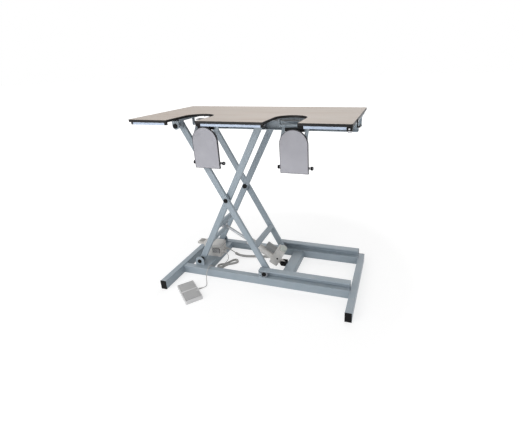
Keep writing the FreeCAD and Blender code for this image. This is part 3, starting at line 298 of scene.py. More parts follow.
# each finish: its material slot, its shared effect and that effect's values, the bump's strength and
# depth in metres, and what the shader itself gets
finishes = {
    "framePaint": {"slot": "frame_paint", "effect": "paint",
        "look": {"Colour": (0.345, 0.402, 0.452, 1), "Worn": (0.46, 0.49, 0.54, 1), "Drift": 0.45,
        "Wear": 0.5, "Rough": 0.4}, "bump": (0.1, 0.0004), "shader": {"Specular IOR Level": 0.4}},
    "laminate": {"slot": "laminate", "effect": "board", "look": {"Colour": (0.545, 0.474, 0.412, 1),
        "Warm": (0.560, 0.462, 0.392, 1), "Print": 0.35, "Rough": 0.42}, "bump": (0.05, 0.0002),
        "shader": {"Specular IOR Level": 0.3}},
    "bandBlack": {"slot": "edge_black", "effect": "grain", "look": {"Colour": (0.004, 0.003, 0.003, 1),
        "Grain": 900, "Scuff": 0.2, "Rub": 0.12, "Rough": 0.45}, "bump": (0.1, 0.0003),
        "shader": {"Specular IOR Level": 0.25}},
    "plasticBlack": {"slot": "black_plastic", "effect": "grain",
        "look": {"Colour": (0.0022, 0.0022, 0.0026, 1), "Grain": 1300, "Scuff": 0.1, "Rub": 0.08,
        "Rough": 0.5}, "bump": (0.15, 0.0003), "shader": {"Specular IOR Level": 0.15}},
    "railMetal": {"slot": "rail_metal", "effect": "brush", "look": {"Colour": (0.500, 0.590, 0.730, 1),
        "Along": (6, 900, 900), "Rough": 0.4, "Depth": 0.12}, "bump": (0.05, 0.0002),
        "shader": {"Metallic": 0.1}},
    # painted shade: the flaps' face is the same laminate as the board, and this darker, cooler grey stands in
    # for the shade it hangs in under the board
    "flapFaceShaded": {"slot": "flap_plastic", "effect": "grain",
        "look": {"Colour": (0.430, 0.430, 0.470, 1), "Grain": 900, "Scuff": 0.5, "Rub": 0.15,
        "Rough": 0.5}, "bump": (0.12, 0.0004), "shader": {"Specular IOR Level": 0.35}},
    "flapEdge": {"slot": "flap_plastic", "effect": "grain", "look": {"Colour": (0.060, 0.058, 0.066, 1),
        "Grain": 900, "Scuff": 0.3, "Rub": 0.2, "Rough": 0.5}, "bump": (0.1, 0.0003),
        "shader": {"Specular IOR Level": 0.25}},
    "zinc": {"slot": "steel", "effect": "brush", "look": {"Colour": (0.60, 0.60, 0.62, 1),
        "Along": (500, 8, 500), "Rough": 0.32, "Depth": 0.2}, "bump": (0.06, 0.0002),
        "shader": {"Metallic": 0.85}},
    "blackSteel": {"slot": "black_steel", "effect": "brush",
        "look": {"Colour": (0.004, 0.004, 0.005, 1), "Along": (300, 300, 300), "Rough": 0.45,
        "Depth": 0.2}, "bump": (0.06, 0.0002), "shader": {"Metallic": 0.3, "Specular IOR Level": 0.2}},
    "drivePlastic": {"slot": "drive_plastic", "effect": "grain",
        "look": {"Colour": (0.640, 0.625, 0.600, 1), "Grain": 1200, "Scuff": 0.4, "Rub": 0.25,
        "Rough": 0.46}, "bump": (0.14, 0.0004), "shader": {"Specular IOR Level": 0.4}},
    "motorGrey": {"slot": "drive_plastic", "effect": "grain",
        "look": {"Colour": (0.260, 0.265, 0.265, 1), "Grain": 900, "Scuff": 0.4, "Rub": 0.35,
        "Rough": 0.42}, "bump": (0.14, 0.0004), "shader": {"Metallic": 0.2}},
    "coverGreen": {"slot": "drive_plastic", "effect": "grain",
        "look": {"Colour": (0.520, 0.560, 0.520, 1), "Grain": 1200, "Scuff": 0.35, "Rub": 0.25,
        "Rough": 0.44}, "bump": (0.12, 0.0004)},
    "rodSteel": {"slot": "rod_steel", "effect": "brush", "look": {"Colour": (0.56, 0.58, 0.60, 1),
        "Along": (300, 300, 300), "Rough": 0.3, "Depth": 0.1}, "bump": (0.03, 0.0001),
        "shader": {"Metallic": 0.6}},
    "nylon": {"slot": "nylon", "effect": "grain", "look": {"Colour": (0.300, 0.320, 0.350, 1),
        "Grain": 1200, "Scuff": 0.3, "Rub": 0.2, "Rough": 0.48}, "bump": (0.1, 0.0003)},
    "pedalPad": {"slot": "pedal_dark", "effect": "grain", "look": {"Colour": (0.500, 0.500, 0.500, 1),
        "Grain": 700, "Scuff": 0.45, "Rub": 0.3, "Rough": 0.6}, "bump": (0.2, 0.0005),
        "shader": {"Specular IOR Level": 0.3}},
    "pedalShell": {"slot": "pedal_light", "effect": "grain",
        "look": {"Colour": (0.740, 0.740, 0.740, 1), "Grain": 1100, "Scuff": 0.3, "Rub": 0.2,
        "Rough": 0.48}, "bump": (0.14, 0.0004), "shader": {"Specular IOR Level": 0.3}},
    "jacket": {"slot": "cable_jacket", "effect": "grain", "look": {"Colour": (0.500, 0.495, 0.480, 1),
        "Grain": 1800, "Scuff": 0.35, "Rub": 0.1, "Rough": 0.5}, "bump": (0.12, 0.0002),
        "shader": {"Specular IOR Level": 0.3}},
}


def makeFinish(name, group, facts):
    material = bpy.data.materials.new(name)
    material.use_nodes = True
    tree = material.node_tree
    surface = tree.nodes["Principled BSDF"]
    effect = useGroup(tree, group, facts["look"])
    strength, depth = facts["bump"]
    raised = addNode(tree, "ShaderNodeBump", Strength=strength, Distance=depth, Height=effect["Height"])
    feed(tree, surface.inputs["Base Color"], effect["Colour"])
    feed(tree, surface.inputs["Roughness"], effect["Rough"])
    feed(tree, surface.inputs["Normal"], raised.outputs["Normal"])
    for label, value in facts.get("shader", {}).items():
        surface.inputs[label].default_value = value
    return material


def makeFinishes():
    edge = buildEdgeGroup()
    dust = buildDustGroup()
    groups = {"paint": buildPaintGroup(edge, dust), "grain": buildGrainGroup(edge, dust),
              "board": buildLaminateGroup(edge), "brush": buildBrushGroup(edge)}
    made = {name: makeFinish(name, groups[facts["effect"]], facts) for name, facts in finishes.items()}
    print("finishes made:", len(made))
    return made


# a node takes the first finish of its slot
slotFinish = {facts["slot"]: name for name, facts in reversed(finishes.items())}
# nodes that differ from the rest of their slot
nodeFinish = {"drive_motor": "motorGrey", "base_pins": "blackSteel", "outer_frame_pins": "blackSteel"}


def dressNodes(made):
    slots = {part["node"]: part["material_slot"] for part in frame["record"]["subparts"]}
    for name, item in nodes.items():
        item.data.materials.clear()
        item.data.materials.append(made[nodeFinish.get(name, slotFinish[slots[name]])])
    print("nodes dressed:", len(nodes))


# Cords: the routes repeat the part's own points, in metres

footCable = {
    "diameter": 0.005, "length": 2.60,
    "fromPedal": [(-0.3616, -0.367, 0.012), (-0.342, -0.344, 0.008), (-0.338, -0.316, 0.0032),
                  (-0.356, -0.286, 0.0032), (-0.372, -0.262, 0.014), (-0.379, -0.240, 0.038),
                  (-0.380, -0.222, 0.059), (-0.381, -0.194, 0.066), (-0.382, -0.166, 0.059),
                  (-0.386, -0.150, 0.034), (-0.386, -0.132, 0.014), (-0.371, -0.1215, 0.005),
                  (-0.3366, -0.1161, 0.003)],
    "toBox": [(-0.334, -0.066, 0.0225), (-0.323, -0.041, 0.034),
              (-0.323, -0.032, 0.052), (-0.332, -0.026, 0.072), (-0.346, -0.0225, 0.084),
              (-0.365, -0.0225, 0.087)],
}
hank = {
    "middle": (-0.322, -0.052), "turned": 49,      # on the floor, long way up and to the right
    # one row for each turn: half length, half width at the ends, half width at the tie, height
    "turns": [(0.0815, 0.0270, 0.0082, 0.0028), (0.0750, 0.0212, 0.0029, 0.0029),
              (0.0805, 0.0262, 0.0080, 0.0081), (0.0740, 0.0210, 0.0030, 0.0082),
              (0.0790, 0.0255, 0.0084, 0.0134), (0.0745, 0.0211, 0.0032, 0.0135)],
    "waistAt": -0.017, "bulgeAt": 0.022, "bulge": 0.66, "foldStep": 57.5, "climbFrom": 9,
    "wayIn": 3, "wayOut": (0.001, 0.0025, 0.0045),     # first point used, and lifts of the last fold
}
motorCable = {
    "diameter": 0.007, "length": 0.525,
    "route": [(-0.365, 0.0225, 0.087), (-0.334, 0.024, 0.080), (-0.311, 0.038, 0.054),
              (-0.295, 0.056, 0.024), (-0.266, 0.068, 0.0112), (-0.222, 0.071, 0.0103),
              (-0.166, 0.086, 0.0102), (-0.106, 0.097, 0.0102), (-0.050, 0.104, 0.011),
              (-0.008, 0.112, 0.018), (0.026, 0.108, 0.040), (0.0468, 0.084, 0.066),
              (0.0468, 0.0415, 0.066)],
    "sleeveFrom": 0.19, "sleeveTo": 0.86, "sleeveWide": 0.0094, "sleeveSides": 14,
    "rib": 0.0036, "ribDeep": 0.0012,
}


def hankTurn(row):
    # one turn: a fold at each end, two points on each long side, pulled in where the tie sits
    half, wide, waist = row[:3]
    straight = half - wide
    side = [(hank["waistAt"], waist), (hank["bulgeAt"], wide * hank["bulge"])]
    left = [(-straight + math.cos(turn) * wide, math.sin(turn) * wide)
            for turn in [math.radians(180 + hank["foldStep"] * step) for step in range(3)]]
    right = [(straight + math.cos(turn) * wide, math.sin(turn) * wide)
             for turn in [math.radians(hank["foldStep"] * step) for step in range(-2, 3)]]
    return (left + [(x, -y) for x, y in side] + right + side[::-1]
            + [(x, -y) for x, y in left[:0:-1]])


def hankSpot(x, y, up):
    turn = math.radians(hank["turned"])
    along = Vector((math.cos(turn), math.sin(turn)))
    across = Vector((-math.sin(turn), math.cos(turn)))
    spot = Vector(hank["middle"]) + along * x + across * y
    return (spot.x, spot.y, up)


def hankPoints():
    points = []
    rows = hank["turns"]
    for index, row in enumerate(rows):
        after = rows[min(index + 1, len(rows) - 1)]
        spots = list(zip(hankTurn(row), hankTurn(after)))
        for step, (here, there) in enumerate(spots):
            climb = max(0, step - hank["climbFrom"]) / (len(spots) - hank["climbFrom"])
            x = here[0] + (there[0] - here[0]) * climb
            y = here[1] + (there[1] - here[1]) * climb
            points.append(hankSpot(x, y, row[3] + (after[3] - row[3]) * climb))
    for spot, lift in zip(hankTurn(rows[-1]), hank["wayOut"]):
        points.append(hankSpot(*spot, rows[-1][3] + lift))
    return points[hank["wayIn"]:]


def makeCurve(name, route, diameter, material):
    curve = bpy.data.curves.new(name, "CURVE")
    curve.dimensions = "3D"
    curve.bevel_depth = diameter / 2
    curve.bevel_resolution = 3
    curve.resolution_u = 8
    curve.use_fill_caps = True
    spline = curve.splines.new("NURBS")
    spline.points.add(len(route) - 1)
    for point, spot in zip(spline.points, route):
        point.co = (*spot, 1)
    spline.order_u = 3
    spline.use_endpoint_u = True
    curve.materials.append(material)
    cord = bpy.data.objects.new(name, curve)
    bpy.context.collection.objects.link(cord)
    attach(cord, "base")
    return cord


def centreLine(cord):
    # the smooth line itself, read from a copy of the curve with no bevel
    bare = cord.data.copy()
    bare.bevel_depth = 0
    holder = bpy.data.objects.new("bareLine", bare)
    mesh = bpy.data.meshes.new_from_object(holder)
    line = [vertex.co.copy() for vertex in mesh.vertices]
    bpy.data.objects.remove(holder)
    bpy.data.meshes.remove(mesh)
    bpy.data.curves.remove(bare)
    return line


# Mesh helpers

def joinRings(form, lower, upper):
    for index in range(len(lower)):
        after = (index + 1) % len(lower)
        form.faces.new((lower[index], lower[after], upper[after], upper[index]))


def addTurned(form, centre, axis, stations, sides=28, ring=False):
    # a turned shape from (distance along, radius) stations; a ring joins the last to the first
    axis = Vector(axis).normalized()
    side = axis.orthogonal().normalized()
    other = axis.cross(side)
    rings = []
    for distance, radius in stations:
        spot = Vector(centre) + axis * distance
        turns = [2 * math.pi * index / sides for index in range(sides)]
        rings.append([form.verts.new(spot + (side * math.cos(turn) + other * math.sin(turn)) * radius)
                      for turn in turns])
    pairs = list(zip(rings, rings[1:])) + ([(rings[-1], rings[0])] if ring else [])
    for lower, upper in pairs:
        joinRings(form, lower, upper)
    if not ring:
        form.faces.new(rings[0][::-1])
        form.faces.new(rings[-1])


def addBlock(form, lowCorner, highCorner, soften=0.0008, place=None):
    corners = [(x, y, z) for x in (lowCorner[0], highCorner[0]) for y in (lowCorner[1], highCorner[1])
               for z in (lowCorner[2], highCorner[2])]
    turn = place or Matrix.Identity(4)
    points = [form.verts.new(turn @ Vector(corner)) for corner in corners]
    faces = [form.faces.new([points[index] for index in quad]) for quad in
             ((0, 1, 3, 2), (4, 6, 7, 5), (0, 4, 5, 1), (2, 3, 7, 6), (0, 2, 6, 4), (1, 5, 7, 3))]
    edges = list({edge for face in faces for edge in face.edges})
    bmesh.ops.bevel(form, geom=edges, offset=soften, segments=2, profile=0.5, affect="EDGES")


def addStrip(form, outline, thin, nearY, farY, reach=None):
    # a band on a closed outline in X and Z, standing proud of it by thin, reaching inward by reach
    count = len(outline)
    rows = []
    for index, spot in enumerate(outline):
        before = outline[index - 1]
        after = outline[(index + 1) % count]
        first = Vector((spot[0] - before[0], spot[1] - before[1])).normalized()
        second = Vector((after[0] - spot[0], after[1] - spot[1])).normalized()
        normal = Vector((first[1] + second[1], -first[0] - second[0])).normalized()
        widen = 1 / max(0.6, normal.dot(Vector((first[1], -first[0]))))
        outer = Vector(spot) + normal * thin * widen
        inner = Vector(spot) - normal * (reach or thin)
        rows.append([form.verts.new((x, y, z)) for (x, z), y in
                     ((outer, nearY), (outer, farY), (inner, farY), (inner, nearY))])
    for index, row in enumerate(rows):
        joinRings(form, row, rows[(index + 1) % count])


def addPanHead(form, centre, axis, radius, high):
    stations = [(0, radius), (high * 0.45, radius), (high * 0.8, radius * 0.86), (high, radius * 0.55),
                (high, radius * 0.3), (high * 0.55, radius * 0.28)]
    addTurned(form, centre, axis, stations, 20)


def addHexHead(form, centre, axis, across, high):
    # washer, and six-sided head with a chamfer
    radius = across / math.sqrt(3)
    addTurned(form, centre, axis, [(0, across * 0.95), (high * 0.2, across * 0.95)], 28)
    lift = Vector(centre) + Vector(axis).normalized() * high * 0.2
    addTurned(form, lift, axis, [(0, radius), (high * 0.65, radius), (high * 0.8, radius * 0.86)], 6)


def addBead(form, start, end, radius):
    # a weld run: overlapping ripples along a line
    start, end = Vector(start), Vector(end)
    long = (end - start).length
    count = max(4, int(long / 0.0022))
    stations = [(0, radius * 0.4)]
    for index in range(count):
        distance = long * (index + 0.5) / count
        stations.append((distance - long / count * 0.28, radius * 0.84))
        stations.append((distance + long / count * 0.2, radius))
    stations.append((long, radius * 0.4))
    addTurned(form, start, end - start, stations, 8)


def makePiece(made, name, form, finish, body, edge=0.6):
    bmesh.ops.recalc_face_normals(form, faces=form.faces)
    for face in form.faces:
        face.smooth = True
    for line in form.edges:
        if len(line.link_faces) == 2 and line.calc_face_angle(0) > edge:
            line.smooth = False
    mesh = bpy.data.meshes.new(name)
    form.to_mesh(mesh)
    form.free()
    mesh.materials.append(made[finish])
    piece = bpy.data.objects.new(name, mesh)
    bpy.context.collection.objects.link(piece)
    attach(piece, body)
    return piece


# Cables: glands, strain reliefs, the motor cable's sleeve and collar, the tie on the hank

relief = {
    "pedal": {"long": 0.022, "wide": 0.0055, "thin": 0.0036, "grooves": 4},
    "box": {"long": 0.024, "wide": 0.0062, "thin": 0.0038, "grooves": 4},
    "motor": {"long": 0.028, "wide": 0.0078, "thin": 0.0050, "grooves": 5},
    "nut": (0.0105, 0.007), "collar": (0.0100, 0.020),      # radius and length
    "tie": {"wide": 0.010, "proud": 0.0008, "half": 0.0150, "low": 0.0003, "high": 0.0166,
            "square": 0.7, "sides": 24},
}


def addRelief(form, centre, axis, facts):
    stations = [(0, facts["wide"])]
    pitch = facts["long"] / (facts["grooves"] + 1)
    for index in range(facts["grooves"]):
        radius = facts["wide"] + (facts["thin"] - facts["wide"]) * (index + 1) / (facts["grooves"] + 1)
        at = pitch * (index + 0.6)
        stations += [(at, radius), (at + pitch * 0.1, radius - 0.0008), (at + pitch * 0.4, radius - 0.0008),
                     (at + pitch * 0.5, radius - 0.0001)]
    stations.append((facts["long"], facts["thin"]))
    addTurned(form, centre, axis, stations, 20)


def addGland(form, spot, nextSpot, facts):
    # six-sided nut flat on the box, and the relief along the cable's first stretch
    wide, long = relief["nut"]
    addTurned(form, spot, (1, 0, 0), [(0, wide), (long, wide)], 6)
    addRelief(form, spot, Vector(nextSpot) - Vector(spot), facts)


def addTie(form):
    # flat strap around the hank's waist: a rounded ring, in four rows across its width
    tie = relief["tie"]
    ring = [2 * math.pi * index / tie["sides"] for index in range(tie["sides"])]
    tall = (tie["high"] - tie["low"]) / 2
    rows = []
    for shift, grow in ((-0.5, 0), (-0.42, 1), (0.42, 1), (0.5, 0)):
        row = []
        for angle in ring:
            across = math.copysign(abs(math.cos(angle)) ** tie["square"], math.cos(angle)) * tie["half"]
            up = math.copysign(abs(math.sin(angle)) ** tie["square"], math.sin(angle)) * tall
            y = across + math.copysign(tie["proud"] * grow, across)
            spot = hankSpot(hank["waistAt"] + tie["wide"] * shift, y, up + tie["low"] + tall)
            row.append(form.verts.new(spot))
        rows.append(row)
    for lower, upper in zip(rows, rows[1:]):
        joinRings(form, lower, upper)


def evenSpots(line, gap):
    # spots at even gaps along a line of points
    spots = [line[0]]
    travelled = 0.0
    for before, after in zip(line, line[1:]):
        step = (after - before).length
        while travelled + step >= gap:
            before = before.lerp(after, (gap - travelled) / step)
            step = (after - before).length
            travelled = 0.0
            spots.append(before)
        travelled += step
    return spots


def addSleeve(form, line):
    # corrugated sleeve: rings that swell and narrow along the cable's own line
    spots = evenSpots(line, motorCable["rib"] / 4)
    turns = [2 * math.pi * index / motorCable["sleeveSides"] for index in range(motorCable["sleeveSides"])]
    rings = []
    side = (spots[1] - spots[0]).orthogonal()
    for index, spot in enumerate(spots):
        ahead = (spots[min(index + 1, len(spots) - 1)] - spots[max(index - 1, 0)]).normalized()
        side = (side - ahead * side.dot(ahead)).normalized()
        other = ahead.cross(side)
        radius = motorCable["sleeveWide"] - (motorCable["ribDeep"] if index % 4 in (0, 1) else 0)
        rings.append([form.verts.new(spot + (side * math.cos(turn) + other * math.sin(turn)) * radius)
                      for turn in turns])
    for lower, upper in zip(rings, rings[1:]):
        joinRings(form, lower, upper)
    form.faces.new(rings[0][::-1])
    form.faces.new(rings[-1])


def makeFootCable(made):
    route = footCable["fromPedal"] + hankPoints() + footCable["toBox"]
    cord = makeCurve("footCable", route, footCable["diameter"], made["jacket"])
    form = bmesh.new()
    addRelief(form, route[0], Vector(route[1]) - Vector(route[0]), relief["pedal"])
    pedalEnd = makePiece(made, "pedalRelief", form, "jacket", "base")
    form = bmesh.new()
    addGland(form, route[-1], route[-2], relief["box"])
    boxEnd = makePiece(made, "footCableGland", form, "jacket", "base")
    form = bmesh.new()
    addTie(form)
    band = makePiece(made, "hankTie", form, "jacket", "base")
    for node in ("pedal_cable", "cable_hank", "control_cable"):
        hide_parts(node)


def makeMotorCable(made):
    route = motorCable["route"]
    cord = makeCurve("motorCable", route, motorCable["diameter"], made["jacket"])
    line = centreLine(cord)
    first = int(len(line) * motorCable["sleeveFrom"])
    last = int(len(line) * motorCable["sleeveTo"])
    form = bmesh.new()
    addSleeve(form, line[first:last])
    sleeve = makePiece(made, "motorCableSleeve", form, "jacket", "base")
    form = bmesh.new()
    addGland(form, route[0], route[1], relief["motor"])
    boxEnd = makePiece(made, "motorCableGland", form, "jacket", "base")
    form = bmesh.new()
    addRelief(form, route[-1], Vector(route[-2]) - Vector(route[-1]), relief["motor"])
    farEnd = makePiece(made, "motorCableRelief", form, "jacket", "base")
    form = bmesh.new()
    wide, long = relief["collar"]
    ahead = line[first + 3] - line[first - 3]
    addTurned(form, line[first] - ahead.normalized() * long / 2, ahead,
              [(0, wide * 0.6), (0.002, wide * 0.86), (0.0045, wide), (long - 0.004, wide),
               (long - 0.002, wide * 0.9), (long, wide * 0.7)], 28)
    collar = makePiece(made, "motorCableCollar", form, "jacket", "base")
    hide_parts("motor_cable")


# Flaps: dark edge band, a black sleeve on the tie that paints the shade above the flaps' shoulders, black
# tips on the stop bar, strap screws

flapTrim = {
    "half": 0.080, "foot": 0.765, "shoulder": 0.925, "front": -0.2052, "back": -0.1918, "proud": 0.0006,
    "wrap": 0.0022,
    "tieLow": 0.9892, "tieHigh": 1.0092, "tieNear": -0.1753, "tieFar": -0.1633, "tieHalf": 0.0555,
    "tipLong": 0.0125, "tipRadius": 0.0109, "barHalf": 0.102, "barY": -0.181, "barZ": 0.7923,
    "screwRadius": 0.0042, "screwHigh": 0.0022, "screwIn": 0.066, "screwHeights": (0.80, 0.87, 0.94),
    "strapBack": -0.1880,
    "hinge": (-0.1487, 1.0183), "barOver": 0.094,
}


def makeFlapTrim(made, side, middleX):
    trim = flapTrim
    body = side + "_flap"
    outline = [(middleX - trim["half"], trim["foot"]), (middleX + trim["half"], trim["foot"])]
    for index in range(33):
        angle = math.pi * index / 32
        outline.append((middleX + math.cos(angle) * trim["half"],
                        trim["shoulder"] + math.sin(angle) * trim["half"]))
    form = bmesh.new()
    addStrip(form, outline, trim["proud"], trim["front"] + 0.0006, trim["back"])
    addStrip(form, outline, trim["proud"], trim["front"] - 0.0003, trim["front"] + 0.0007, trim["wrap"])
    makePiece(made, side + "FlapEdge", form, "flapEdge", body)
    # painted shade: the tie is real, and its black sleeve stands in for the shade in the gap above each
    # flap's shoulders
    form = bmesh.new()
    addBlock(form, (middleX - trim["tieHalf"], trim["tieNear"], trim["tieLow"]),
             (middleX + trim["tieHalf"], trim["tieFar"], trim["tieHigh"]), 0.0015)
    makePiece(made, side + "FlapTieShadeSleeve", form, "plasticBlack", body)
    form = bmesh.new()
    for way in (-1, 1):
        end = (middleX + way * (trim["barHalf"] + 0.0004), trim["barY"], trim["barZ"])
        radius = trim["tipRadius"]
        addTurned(form, end, (-way, 0, 0), [(0, radius * 0.8), (0.0012, radius), (trim["tipLong"], radius),
                                            (trim["tipLong"] + 0.0008, radius * 0.9)], 28)
    makePiece(made, side + "FlapBarTips", form, "plasticBlack", body)
    form = bmesh.new()
    for way in (-1, 1):
        for height in trim["screwHeights"]:
            addPanHead(form, (middleX + way * trim["screwIn"], trim["strapBack"], height), (0, 1, 0),
                       trim["screwRadius"], trim["screwHigh"])
    makePiece(made, side + "FlapStrapScrews", form, "zinc", body)
    form = bmesh.new()
    for way in (-1, 1):
        spot = (middleX + way * trim["barOver"], *trim["hinge"])
        addTurned(form, spot, (way, 0, 0), [(0, 0.0076), (0.0016, 0.0076), (0.0026, 0.006)], 24)
    makePiece(made, side + "HingeBarCaps", form, "plasticBlack", "top")


# Top: rail lips, the light knob, screws of the block, bolts that hold the frame to the board

topTrim = {
    "spans": ((-0.586, -0.391), (-0.179, 0.145), (0.357, 0.554)), "face": -0.406, "railLow": 1.0487,
    "railHigh": 1.0617, "lip": 0.0014, "proud": 0.0006,
    "knob": (0.567, -0.391), "knobTop": 1.0432, "knobRadius": 0.0094, "knobHigh": 0.0086,
    "blockScrew": (0.567, -0.4060, 1.0522), "screwLine": -0.400,
    "hook": (0.586, -0.250), "hookScrews": (1.045, 1.064),
    "frameLow": 1.0367,     # bolts up into the board, clear of the arms when the top comes down
    "bolts": ((-0.466, 0.085), (-0.466, 0), (0.0, 0.150), (0.0, 0.0), (0.540, 0.150), (0.540, 0.0)),
}


def makeTopTrim(made):
    trim = topTrim
    form = bmesh.new()
    for left, right in trim["spans"]:
        for lower in (trim["railLow"] + 0.0006, trim["railHigh"] - 0.0006 - trim["lip"]):
            addBlock(form, (left + 0.0005, trim["face"] - trim["proud"], lower),
                     (right - 0.0005, trim["face"] + 0.0003, lower + trim["lip"]), 0.0003)
    makePiece(made, "railLips", form, "railMetal", "top")
    form = bmesh.new()
    radius = trim["knobRadius"]
    addTurned(form, (*trim["knob"], trim["knobTop"]), (0, 0, -1),
              [(0, radius * 0.9), (0.0008, radius), (trim["knobHigh"] - 0.002, radius),
               (trim["knobHigh"] - 0.0006, radius * 0.92), (trim["knobHigh"], radius * 0.7)], 36)
    makePiece(made, "blockKnob", form, "zinc", "top")
    form = bmesh.new()
    addPanHead(form, trim["blockScrew"], (0, -1, 0), 0.0042, 0.0022)
    for left, right in trim["spans"]:
        for share in (0.12, 0.5, 0.88):
            spot = (left + (right - left) * share, trim["screwLine"], trim["railLow"])
            addPanHead(form, spot, (0, 0, -1), 0.0032, 0.0018)
    for height in trim["hookScrews"]:
        addPanHead(form, (*trim["hook"], height), (1, 0, 0), 0.0035, 0.0018)
    makePiece(made, "railScrews", form, "zinc", "top")
    form = bmesh.new()
    for x, y in trim["bolts"]:
        for way in ((-1, 1) if y else (1,)):
            addHexHead(form, (x, way * y, trim["frameLow"]), (0, 0, -1), 0.013, 0.006)
    makePiece(made, "frameBolts", form, "zinc", "top")


# Base: weld runs, stop plates of the tracks, black caps on the tracks' right ends that paint the shade of
# their open ends, bolts beside the front roller

baseTrim = {
    "bead": 0.0022, "railY": (0.174, 0.214), "railX": 0.570, "railTop": 0.054,
    "members": ((-0.500, -0.400), (0.108, 0.180)), "memberTop": 0.050, "memberY": 0.174,
    "trackRuns": ((0.03, 0.07), (0.16, 0.20), (0.29, 0.33), (0.42, 0.46), (0.53, 0.567)), "trackBead": 0.0014,
    "shadeCapThick": 0.0022, "shadeCapLow": 0.0603, "shadeCapHigh": 0.1066,
    "stopPlate": (-0.0139, 0.0060, 0.2112, 0.2146, 0.0585, 0.1025),
    "plateBolts": ((-0.0075, 0.0965), (0.0018, 0.0965), (-0.0025, 0.0700)), "boltRadius": 0.0036,
}


def makeBaseTrim(made):
    trim = baseTrim
    form = bmesh.new()
    near, far = trim["railY"]
    for way in (-1, 1):
        for x in (-trim["railX"], trim["railX"]):
            inward = -0.0006 if x > 0 else 0.0006
            top = trim["railTop"]
            face = x + inward
            addBead(form, (face, way * (near + 0.003), top), (face, way * (far - 0.003), top), trim["bead"])
            for y in (near, far):
                addBead(form, (face, way * y, 0.005), (face, way * y, top - 0.003), trim["bead"])
        for left, right in trim["members"]:
            y = way * trim["memberY"]
            top = trim["memberTop"]
            addBead(form, (left + 0.004, y, top), (right - 0.004, y, top), trim["bead"])
            for x in (left, right):
                addBead(form, (x, y, 0.004), (x, y, top - 0.004), trim["bead"])
        for start, end in trim["trackRuns"]:
            seam = trim["railTop"] + 0.0002
            addBead(form, (start, way * far, seam), (end, way * far, seam), trim["trackBead"])
    makePiece(made, "weldRuns", form, "framePaint", "base", 0.9)
    form = bmesh.new()
    left, right, near, far, lower, upper = trim["stopPlate"]
    for way in (-1, 1):
        ys = sorted((way * near, way * far))
        addBlock(form, (left, ys[0], lower), (right, ys[1], upper), 0.0006)
    makePiece(made, "trackStopPlates", form, "framePaint", "base")
    # painted shade: black sheets close the tracks' right ends, standing in for the shade inside the open
    # channel ends
    form = bmesh.new()
    for way in (-1, 1):
        ys = sorted((way * (near + 0.0006), way * (far - 0.0006)))
        addBlock(form, (trim["railX"] - 0.0002, ys[0], trim["shadeCapLow"]),
                 (trim["railX"] + trim["shadeCapThick"], ys[1], trim["shadeCapHigh"]), 0.0006)
    makePiece(made, "trackEndShadeCaps", form, "plasticBlack", "base")
    form = bmesh.new()
    for x, z in trim["plateBolts"]:
        addPanHead(form, (x, -trim["stopPlate"][3], z), (0, -1, 0), trim["boltRadius"], 0.0022)
    makePiece(made, "trackStopBolts", form, "blackSteel", "base")


# Control box: lid joint, screws, fins on its face, contacts at the end of the tongue

boxTrim = {
    "left": -0.505, "right": -0.375, "halfDeep": 0.045, "corner": 0.008, "joint": 0.124, "top": 0.146,
    "screwIn": 0.011, "screwRadius": 0.0036,
    "fins": (0.084, 0.0925, 0.101, 0.1095), "finLeft": -0.437, "finRight": -0.383, "finHigh": 0.0034,
    "finProud": 0.0035,
    "contacts": (-0.015, 0.0, 0.015), "contactLeft": -0.565, "contactZ": 0.134,
    "tongueTop": 0.142,
}


def makeBoxTrim(made):
    trim = boxTrim
    form = bmesh.new()
    outline = []
    half = trim["halfDeep"]
    for cornerX, cornerY, start in ((trim["right"], half, 0), (trim["left"], half, 90),
                                    (trim["left"], -half, 180), (trim["right"], -half, 270)):
        centreX = cornerX - math.copysign(trim["corner"], cornerX - (trim["left"] + trim["right"]) / 2)
        centreY = cornerY - math.copysign(trim["corner"], cornerY)
        for step in range(7):
            angle = math.radians(start + 15 * step)
            outline.append((centreX + math.cos(angle) * trim["corner"],
                            centreY + math.sin(angle) * trim["corner"]))
    addStrip(form, outline[::-1], 0.0004, trim["joint"] - 0.0007, trim["joint"] + 0.0007)
    for vertex in form.verts:
        vertex.co = Vector((vertex.co.x, vertex.co.z, vertex.co.y))
    makePiece(made, "boxJoint", form, "plasticBlack", "base")
    form = bmesh.new()
    for x in (trim["left"] + trim["screwIn"], trim["right"] - trim["screwIn"]):
        for y in (-half + trim["screwIn"], half - trim["screwIn"]):
            addPanHead(form, (x, y, trim["top"]), (0, 0, 1), trim["screwRadius"], 0.0018)
    makePiece(made, "boxScrews", form, "zinc", "base")
    form = bmesh.new()
    addBlock(form, (trim["finLeft"] - 0.003, -half - 0.0008, trim["fins"][0] - 0.004),
             (trim["finRight"] + 0.003, -half + 0.001, trim["fins"][-1] + 0.0075), 0.0005)
    makePiece(made, "boxGrille", form, "plasticBlack", "base")
    form = bmesh.new()
    for height in trim["fins"]:
        addBlock(form, (trim["finLeft"], -half - trim["finProud"], height),
                 (trim["finRight"], -half - 0.0006, height + trim["finHigh"]), 0.001)
    makePiece(made, "boxFins", form, "pedalShell", "base")
    form = bmesh.new()
    for y in trim["contacts"]:
        addBlock(form, (trim["contactLeft"] - 0.0008, y - 0.0045, trim["contactZ"] - 0.004),
                 (trim["contactLeft"] + 0.002, y + 0.0045, trim["contactZ"] + 0.004), 0.0006)
        addBlock(form, (trim["contactLeft"] + 0.010, y - 0.003, trim["tongueTop"] - 0.0004),
                 (trim["contactLeft"] + 0.042, y + 0.003, trim["tongueTop"] + 0.0008), 0.0005)
    makePiece(made, "boxContacts", form, "plasticBlack", "base")


# Drive: drawn along its own line, from the rear pin towards the rod's pin

